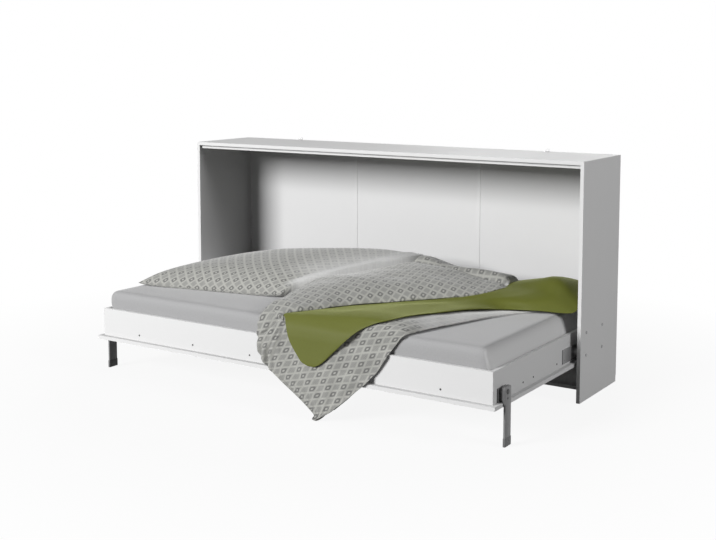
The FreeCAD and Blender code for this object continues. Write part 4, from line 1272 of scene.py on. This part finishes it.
class BED_OT_pillow(bpy.types.Operator):
    """Feather pillow in a printed case"""

    bl_idname = "bed.pillow"
    bl_label = "Pillow"

    columns = 71
    rows = 55
    crown = 0.092
    belly = 0.045
    end_fill = 0.72
    end_bulge = 0.078
    end_skew = 0.7
    pull_in = 0.024
    front_sag = 0.012
    swell_cap = 0.012
    rest_gap = 0.001
    # Squareness of the filling at the right end and elsewhere, and how the crown falls to the left
    end_square = 4.6
    square = 2.9
    left_fall = 0.28
    left_from = 0.15
    # Painted highlight, a paler print: its share, then a start and a reach across and along, from -1 to 1
    highlight_share = 0.58
    highlight_across = (0.45, 0.5)
    highlight_along = (-0.8, 0.4)
    end_highlight_share = 0.88
    end_highlight_across = (0.86, 0.08)
    end_highlight_along = (-0.95, 0.2)

    def execute(self, context):
        corners = np.array([bed_point(*point) for point in PILLOW_CORNERS])
        u, v = np.meshgrid(np.linspace(-1, 1, self.columns), np.linspace(-1, 1, self.rows))
        across = u * (1 - self.pull_in * (1 - v**2))
        along = v * (1 - self.pull_in * (1 - u**2))
        left = 1 - across
        right = 1 + across
        front = 1 - along
        rear = 1 + along
        shares = np.stack((left * front, right * front, right * rear, left * rear), axis=2)
        seam = shares @ corners / 4
        seam[..., 0] += self.end_bulge * np.clip(u, 0, 1) ** 2 * (1 - v**4) * (1 + self.end_skew * v)
        seam[..., 2] -= self.front_sag * (1 - u**2) * np.clip(-v, 0, 1)
        end = np.where(u > 0, self.end_square, self.square)
        deep_fill = (1 - np.abs(v) ** self.square) ** 0.5
        full = (1 - np.abs(u) ** end) ** 0.5 * deep_fill
        raised = np.maximum(full, np.where(u > 0, self.end_fill, 0) * deep_fill)
        upper = seam.copy()
        upper[..., 2] += raised * self.crown * (1 - self.left_fall * np.clip(-u - self.left_from, 0, 1))
        lower = seam.copy()
        lower[..., 2] -= full * self.belly
        wide = run_along(upper, 1)
        deep = run_along(upper, 0)
        cloth = np.stack((wide - wide[:, [self.columns // 2]], deep - deep[[self.rows // 2]]), axis=2)
        # Painted highlight: the pillow's right part and its right end are marked for a paler print
        pale = self.highlight_share * ease(u, *self.highlight_across) * ease(v, *self.highlight_along)
        ends = self.end_highlight_share * ease(u, *self.end_highlight_across) * ease(v, *self.end_highlight_along)
        piece = self.envelope(upper, lower, cloth, np.maximum(pale, ends))
        start = points_of(piece)
        run_cloth(piece, pressure=4.0, frames=16)
        points = points_of(piece)
        moved = points - start
        length = np.linalg.norm(moved, axis=1, keepdims=True)
        points = start + moved * np.minimum(1, self.swell_cap / np.maximum(length, 1e-6))
        points[:, 2] = np.maximum(points[:, 2], MATTRESS_TOP + self.rest_gap)
        set_points(piece, points)
        apply_modifier(piece, "round", "SUBSURF", levels=1, render_levels=1)
        cotton = material_named("lozenge_cotton", printed_material)
        finish_piece(piece, cotton, "bed", "printed_cotton", "pillow")
        return {"FINISHED"}

    def envelope(self, upper, lower, cloth, painted_light):
        """Two faces sewn together round the edge."""
        rows, columns = upper.shape[:2]
        count = rows * columns
        edge = np.zeros((rows, columns), bool)
        edge[0] = edge[-1] = True
        edge[:, 0] = edge[:, -1] = True
        inner = np.flatnonzero(~edge.ravel())
        under = np.arange(count)
        under[inner] = count + np.arange(len(inner))
        under = under.reshape(rows, columns)
        points = np.concatenate((upper.reshape(-1, 3), lower.reshape(-1, 3)[inner]))
        maps = np.concatenate((cloth.reshape(-1, 2), cloth.reshape(-1, 2)[inner]))
        faces = quads(rows, columns)
        for r in range(rows - 1):
            for c in range(columns - 1):
                ring = (under[r, c], under[r + 1, c], under[r + 1, c + 1], under[r, c + 1])
                faces.append(tuple(int(index) for index in ring))
        piece = grid_mesh("pillow_case", points, maps, faces)
        mark(piece, "painted_light", np.concatenate((painted_light.ravel(), painted_light.ravel()[inner])))
        return piece


def split_grid(grid, row):
    """Two grids that share one row."""
    return grid[: row + 1], grid[row:]


class BED_OT_duvet(bpy.types.Operator):
    """Folded duvet: its lower layer, the corner that hangs over the front, and its upper layer"""

    bl_idname = "bed.duvet"
    bl_label = "Duvet"

    # Points across and along each layer, and the share of its width that its soft edge takes
    corner_columns = 7
    steps = 14
    lower_across = 121
    lower_rim = 0.06
    upper_across = 151
    upper_along = 161
    upper_rim = 0.05
    # Thickness at the hems, and what the filling adds
    lower_hem = 0.003
    lower_fill = 0.010
    upper_hem = 0.004
    upper_fill = 0.022
    # A pair is a start and a reach: heights and places in metres, or shares of the width
    edge_height = CORNER_ROWS[-1][0] * MM
    lean_heights = (0.06, 0.08)
    lean_across = (0.45, 0.5)
    # Upright folds of the hanging corner, and their gather at its left edge
    hang_heights = (edge_height, -0.10)
    tip_height = 0.12
    tip_share = 0.15
    fold_count = 4.5
    fold_sway = 6.0
    fold_depth = 0.010
    fold_fade = 0.55
    gather_across = (0.22, -0.22)
    gather_heights = (0.17, 0.10)
    gather_depth = 0.008
    ripple = 0.0022
    # Roll of the front left edge
    roll_heights = (0.14, 0.16)
    roll_places = (-0.58, -0.09)
    roll_across = (0.19, -0.19)
    roll_start = (0.0, 0.03)
    roll_fall = 0.6
    roll_depth = 0.026
    # How far out the closed bed leaves room for the hanging corner, and more the lower it hangs
    room = 0.756
    room_slope = 0.23
    # Fan of creases beside the throw: angles in degrees, reach from the gather point in metres
    fan_turns = ((6, 14), (88, -16))
    fan_reaches = ((0.015, 0.05), (0.31, -0.10))
    fan_front = (-0.725, -0.02)
    fan_pitch = 13
    fan_wander = 3.0
    fan_slope = 0.034
    valley_turn = 44
    valley_width = 7
    valley_reach = (0.20, -0.08)
    valley_depth = 0.010
    # Upper layer: the turn of its print, its creases, and a groove and a ridge at a place and a width
    print_turn = math.radians(-49)
    swell = 0.006
    crease = 0.004
    groove_across = (0.30, 0.15)
    groove_along = (0.845, 0.016)
    groove_depth = 0.013
    ridge_along = (0.895, 0.025)
    ridge_depth = 0.008
    # Where the print is painted paler, as painted light, on the lower and the upper layer
    hem_highlight_share = 0.7
    hem_highlight_across = (0.62, 0.12)
    hem_highlight_places = (-0.67, 0.12)
    end_highlight_share = 0.9
    end_highlight_across = (0.91, 0.05)
    end_highlight_along = (0.78, 0.1)

    def execute(self, context):
        cotton = material_named("lozenge_cotton", printed_material)
        self.make_lower(cotton)
        self.make_upper(cotton)
        return {"FINISHED"}

    def make_lower(self, cotton):
        laid = [[(x, row[0], z) for x, z in row[1:]] for row in LOWER_ROWS]
        rows = drape_rows(CORNER_ROWS, self.corner_columns) + laid
        across = self.lower_across
        along = (len(rows) - 1) * self.steps + 1
        grid = smooth_net(rows, across, along)
        cloth = bias_map(hang_map(grid), *BIAS_CELL, settings("bed_bedding").pitch)
        u = np.linspace(0, 1, across)[None, :]
        grid = self.lean_back(grid, u)
        lift = self.hanging_folds(grid, u) + self.fanned_creases(grid) + self.rolled_edge(grid, u)
        lift += cloth_noise(grid, scale=11.0, seed=11) * self.ripple
        grid = soften(grid, lift)
        reach = self.room + self.room_slope * np.clip(self.edge_height - grid[..., 2], 0, None)
        grid[..., 1] = np.maximum(grid[..., 1], FRONT_Y - reach)
        thickness = self.lower_hem + self.lower_fill * edge_share(along, across, self.lower_rim)
        row = (len(CORNER_ROWS) - 1) * self.steps
        corner, bed = split_grid(grid, row)
        corner_cloth, bed_cloth = split_grid(cloth, row)
        corner_depth, bed_depth = split_grid(thickness, row)
        piece = quilt("duvet_under", bed, bed_depth, bed_cloth)
        # Painted highlight on the lower layer's strip along its right edge
        hem_light = ease(u, *self.hem_highlight_across) * ease(bed[..., 1] - FRONT_Y, *self.hem_highlight_places)
        mark(piece, "painted_light", np.tile(self.hem_highlight_share * hem_light.ravel(), 2))
        finish_piece(piece, cotton, "bed", "printed_cotton", "duvet_lower")
        piece = quilt("duvet_corner", corner, corner_depth, corner_cloth)
        finish_piece(piece, cotton, "bed", "printed_cotton", "duvet_drape")
        fold_flat(piece)

    def lean_back(self, grid, u):
        """Draws the right edge of the hanging corner back on to the door, the board and the mattress."""
        height = grid[..., 2]
        lean = np.interp(height, np.multiply(LEAN_HEIGHTS, MM), np.multiply(LEAN_PLACES, MM))
        room = np.clip(lean - grid[..., 1] + FRONT_Y, 0, None) * ramp(height, *self.lean_heights)
        return grid + (room * ease(u, *self.lean_across))[..., None] * LEAN_WAY

    def hanging_folds(self, grid, u):
        """Upright folds of the hanging corner, fading to the right and gathered at the left."""
        height = grid[..., 2]
        hang = ramp(height, *self.hang_heights) * np.clip(height / self.tip_height, self.tip_share, 1)
        folds = 0.5 + 0.5 * np.cos(2 * math.pi * self.fold_count * u + height * self.fold_sway)
        gather = ramp(u, *self.gather_across) * ramp(height, *self.gather_heights)
        return hang * (self.fold_depth * folds * (1 - self.fold_fade * u) + self.gather_depth * gather)

    def rolled_edge(self, grid, u):
        """Roll of the left edge where the duvet turns over the front of the mattress."""
        front = ramp(grid[..., 1] - FRONT_Y, *self.roll_places)
        roll = ramp(u, *self.roll_across) ** self.roll_fall * ramp(u, *self.roll_start) ** 0.5
        return self.roll_depth * ramp(grid[..., 2], *self.roll_heights) * front * roll

    def fanned_creases(self, grid):
        """Creases between the throw's corner and the left edge of the hanging corner."""
        aside = GATHER_POINT[0] * MM - grid[..., 0]
        below = GATHER_POINT[1] * MM - grid[..., 2]
        reach = np.hypot(aside, below)
        turn = np.degrees(np.arctan2(below, aside))
        share = ease(grid[..., 1] - FRONT_Y, *self.fan_front)
        for zone in self.fan_turns:
            share *= ease(turn, *zone)
        for zone in self.fan_reaches:
            share *= ease(reach, *zone)
        wander = self.fan_wander * cloth_noise(grid, scale=8.0, seed=31)
        waves = np.cos(turn * 2 * math.pi / self.fan_pitch + wander)
        valley = bulge(turn, self.valley_turn, self.valley_width) * ease(reach, *self.valley_reach)
        return share * (self.fan_slope * reach * waves - self.valley_depth * valley)

    def make_upper(self, cotton):
        rows = []
        for left, heights, right in UPPER_ROWS:
            row = [left]
            for share, height in zip(UPPER_SHARES, heights):
                x = left[0] + (right[0] - left[0]) * share
                y = left[1] + (right[1] - left[1]) * share
                row.append((x, y, height))
            row.append(right)
            rows.append(row)
        across = self.upper_across
        along = self.upper_along
        grid = smooth_net(rows, across, along)
        cloth = lip_map(grid, self.print_turn)
        rim = edge_share(along, across, self.upper_rim)
        creases = crease_noise(grid, scale=5.0, seed=21, stretch=(0.35, 1.0, 0.6))
        amounts = cloth_noise(grid, scale=6.0, seed=23) * self.swell + creases * self.crease
        u = np.linspace(0, 1, across)[None, :]
        v = np.linspace(0, 1, along)[:, None]
        side = ramp(u, *self.groove_across)
        amounts -= side * self.groove_depth * bulge(v, *self.groove_along)
        amounts += side * self.ridge_depth * bulge(v, *self.ridge_along)
        grid = soften(grid, amounts * rim)
        piece = quilt("duvet_over", grid, self.upper_hem + self.upper_fill * rim, cloth)
        # Painted light on the upper layer's rear right end, which lies in shade
        end = ease(u, *self.end_highlight_across) * ease(v, *self.end_highlight_along)
        mark(piece, "painted_light", np.tile(self.end_highlight_share * end.ravel(), 2))
        finish_piece(piece, cotton, "bed", "printed_cotton", "duvet_upper")


def fold_flat(piece):
    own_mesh(piece)


class BED_OT_throw(bpy.types.Operator):
    """Green throw between the duvet's layers, with the tongue that hangs over the front"""

    bl_idname = "bed.throw"
    bl_label = "Throw"

    # Points across and along, and the share of the width where the waves fade out at the edges
    tongue_columns = 5
    steps = 12
    across = 81
    rim = 0.12
    wave = 0.004
    crease = 0.0025
    thickness = 0.003

    def execute(self, context):
        finish = settings("bed_bedding")
        sateen = plain_cloth(
            "green_sateen", finish.green, threads=1400.0, sheen=0.24, shine=0.3, roughness=0.5
        )
        rows = drape_rows(TONGUE_ROWS, self.tongue_columns) + [list(row) for row in THROW_ROWS]
        along = (len(rows) - 1) * self.steps + 1
        grid = smooth_net(rows, self.across, along)
        cloth = hang_map(grid)
        waves = cloth_noise(grid, scale=4.0, seed=31, depth=2) * self.wave
        drawn = crease_noise(grid, scale=4.0, seed=33, stretch=(1.0, 0.4, 0.6)) * self.crease
        grid = soften(grid, (waves + drawn) * edge_share(along, self.across, self.rim))
        row = (len(TONGUE_ROWS) - 1) * self.steps
        depth = np.full(grid.shape[:2], self.thickness)
        tongue, bed = split_grid(grid, row)
        tongue_cloth, bed_cloth = split_grid(cloth, row)
        piece = quilt("throw_on_bed", bed, depth[row:], bed_cloth)
        finish_piece(piece, sateen, "bed", "green_cotton", "throw")
        piece = quilt("throw_tongue", tongue, depth[: row + 1], tongue_cloth)
        finish_piece(piece, sateen, "bed", "green_cotton", "throw_drape")
        fold_flat(piece)
        return {"FINISHED"}


class BED_OT_stage(bpy.types.Operator):
    """White studio floor, soft light and the camera"""

    bl_idname = "bed.stage"
    bl_label = "Stage"

    sensor = 36
    floor_size = 24
    floor_drop = 0.001
    # Floor colour in the light that it throws back, and as the lens sees it
    floor_thrown = 0.15
    floor_shown = 0.9
    # The floor goes over into plain white between these distances from the bed's middle
    white_near = 1.2
    white_far = 2.6
    white_share = 0.90

    def execute(self, context):
        stage = settings("bed_stage")
        scene = context.scene
        scene.view_settings.view_transform = "Standard"
        self.add_camera(scene, stage)
        self.add_lights(scene, stage)
        self.add_world(scene, stage)
        self.add_floor()
        return {"FINISHED"}

    def add_camera(self, scene, stage):
        camera = bpy.data.cameras.new("camera")
        camera.sensor_width = self.sensor
        camera.lens = stage.lens
        camera.shift_y = stage.shift
        holder = bpy.data.objects.new("camera", camera)
        holder.location = stage.place
        holder.rotation_euler = (math.pi / 2 - stage.tilt, 0, stage.turn)
        scene.collection.objects.link(holder)
        scene.camera = holder

    def add_lights(self, scene, stage):
        for name, place, target, size, power in (
            ("key_light", (-4.3, -10.4, 4.9), (0.0, 0.3, 0.55), 4.4, stage.key),
            ("side_light", (8.1, 0.0, 4.4), (0.0, 0.2, 0.5), 3.0, stage.side),
            ("rear_light", (-2.0, 7.5, 2.4), (0.0, 0.4, 0.5), 3.5, stage.rear),
        ):
            lamp = bpy.data.lights.new(name, "AREA")
            lamp.size = size
            lamp.energy = power
            holder = bpy.data.objects.new(name, lamp)
            holder.location = place
            aim = Vector(target) - Vector(place)
            holder.rotation_euler = aim.to_track_quat("-Z", "Y").to_euler()
            scene.collection.objects.link(holder)

    def add_world(self, scene, stage):
        world = bpy.data.worlds.new("studio")
        world.use_nodes = True
        tree = world.node_tree
        back = tree.nodes["Background"]
        back.inputs["Color"].default_value = (1, 1, 1, 1)
        strength = self.seen(tree, stage.sky, 1.0)
        join(tree, strength, back.inputs["Strength"])
        scene.world = world

    def seen(self, tree, unseen, shown):
        """One value for what the lens, mirrors and glass see, another for the light that falls."""
        path = add(tree, "ShaderNodeLightPath")
        rays = [path.outputs[f"Is {kind} Ray"] for kind in ("Glossy", "Transmission", "Camera")]
        looks = math_node(tree, "MAXIMUM", rays[2], math_node(tree, "MAXIMUM", *rays[:2]))
        return math_node(tree, "ADD", math_node(tree, "MULTIPLY", looks, shown - unseen), unseen)

    def add_floor(self):
        deselect()
        bpy.ops.mesh.primitive_plane_add(size=self.floor_size, location=(0, 0, -self.floor_drop))
        floor = bpy.context.object
        floor.name = "studio_floor"
        bpy.ops.object.mode_set(mode="EDIT")
        bpy.ops.mesh.subdivide(number_cuts=3)
        bpy.ops.object.mode_set(mode="OBJECT")
        material = bpy.data.materials.new("studio_floor")
        material.use_nodes = True
        tree = material.node_tree
        tree.nodes.clear()
        paint = add(tree, "ShaderNodeBsdfDiffuse")
        join(tree, self.seen(tree, self.floor_thrown, self.floor_shown), paint.inputs["Color"])
        glow = add(tree, "ShaderNodeEmission", {"Color": (1, 1, 1, 1), "Strength": 1.0})
        both = add(tree, "ShaderNodeMixShader")
        away = add(tree, "ShaderNodeVectorMath", operation="LENGTH")
        join(tree, object_place(tree), away.inputs[0])
        limits = {1: self.white_near, 2: self.white_far, 3: self.white_share, 4: 1.0}
        fade = add(tree, "ShaderNodeMapRange", limits)
        join(tree, away.outputs["Value"], fade.inputs[0])
        share = math_node(tree, "MULTIPLY", self.seen(tree, 0.0, 1.0), fade.outputs[0])
        join(tree, share, both.inputs[0])
        join(tree, paint.outputs[0], both.inputs[1])
        join(tree, glow.outputs[0], both.inputs[2])
        out = add(tree, "ShaderNodeOutputMaterial")
        join(tree, both.outputs[0], out.inputs["Surface"])
        floor.data.materials.append(material)


class BED_PT_panel(bpy.types.Panel):
    """Settings and steps of the folding bed"""

    bl_idname = "BED_PT_panel"
    bl_label = "Folding Bed"
    bl_space_type = "VIEW_3D"
    bl_region_type = "UI"
    bl_category = "Folding Bed"

    def draw(self, context):
        for name, group in SETTINGS:
            box = self.layout.box()
            box.label(text=group.__doc__)
            for prop in group.__annotations__:
                box.prop(getattr(context.scene, name), prop)
        for step in STEPS:
            self.layout.operator(step.bl_idname)


SETTINGS = (
    ("bed_boards", BoardFinish),
    ("bed_fittings", FittingFinish),
    ("bed_bedding", BeddingFinish),
    ("bed_stage", StageSettings),
)
STEPS = (
    BED_OT_boards,
    BED_OT_fittings,
    BED_OT_legs,
    BED_OT_mattress,
    BED_OT_pillow,
    BED_OT_duvet,
    BED_OT_throw,
    BED_OT_stage,
)


def register():
    for name, group in SETTINGS:
        bpy.utils.register_class(group)
        setattr(bpy.types.Scene, name, bpy.props.PointerProperty(type=group))
    for step in STEPS:
        bpy.utils.register_class(step)
    bpy.utils.register_class(BED_PT_panel)


def unregister():
    bpy.utils.unregister_class(BED_PT_panel)
    for step in reversed(STEPS):
        bpy.utils.unregister_class(step)
    for name, group in reversed(SETTINGS):
        delattr(bpy.types.Scene, name)
        bpy.utils.unregister_class(group)


def main():
    register()
    bpy.ops.bed.boards()
    bpy.ops.bed.fittings()
    bpy.ops.bed.legs()
    bpy.ops.bed.mattress()
    bpy.ops.bed.pillow()
    bpy.ops.bed.duvet()
    bpy.ops.bed.throw()
    bpy.ops.bed.stage()


if __name__ == "__main__":
    main()
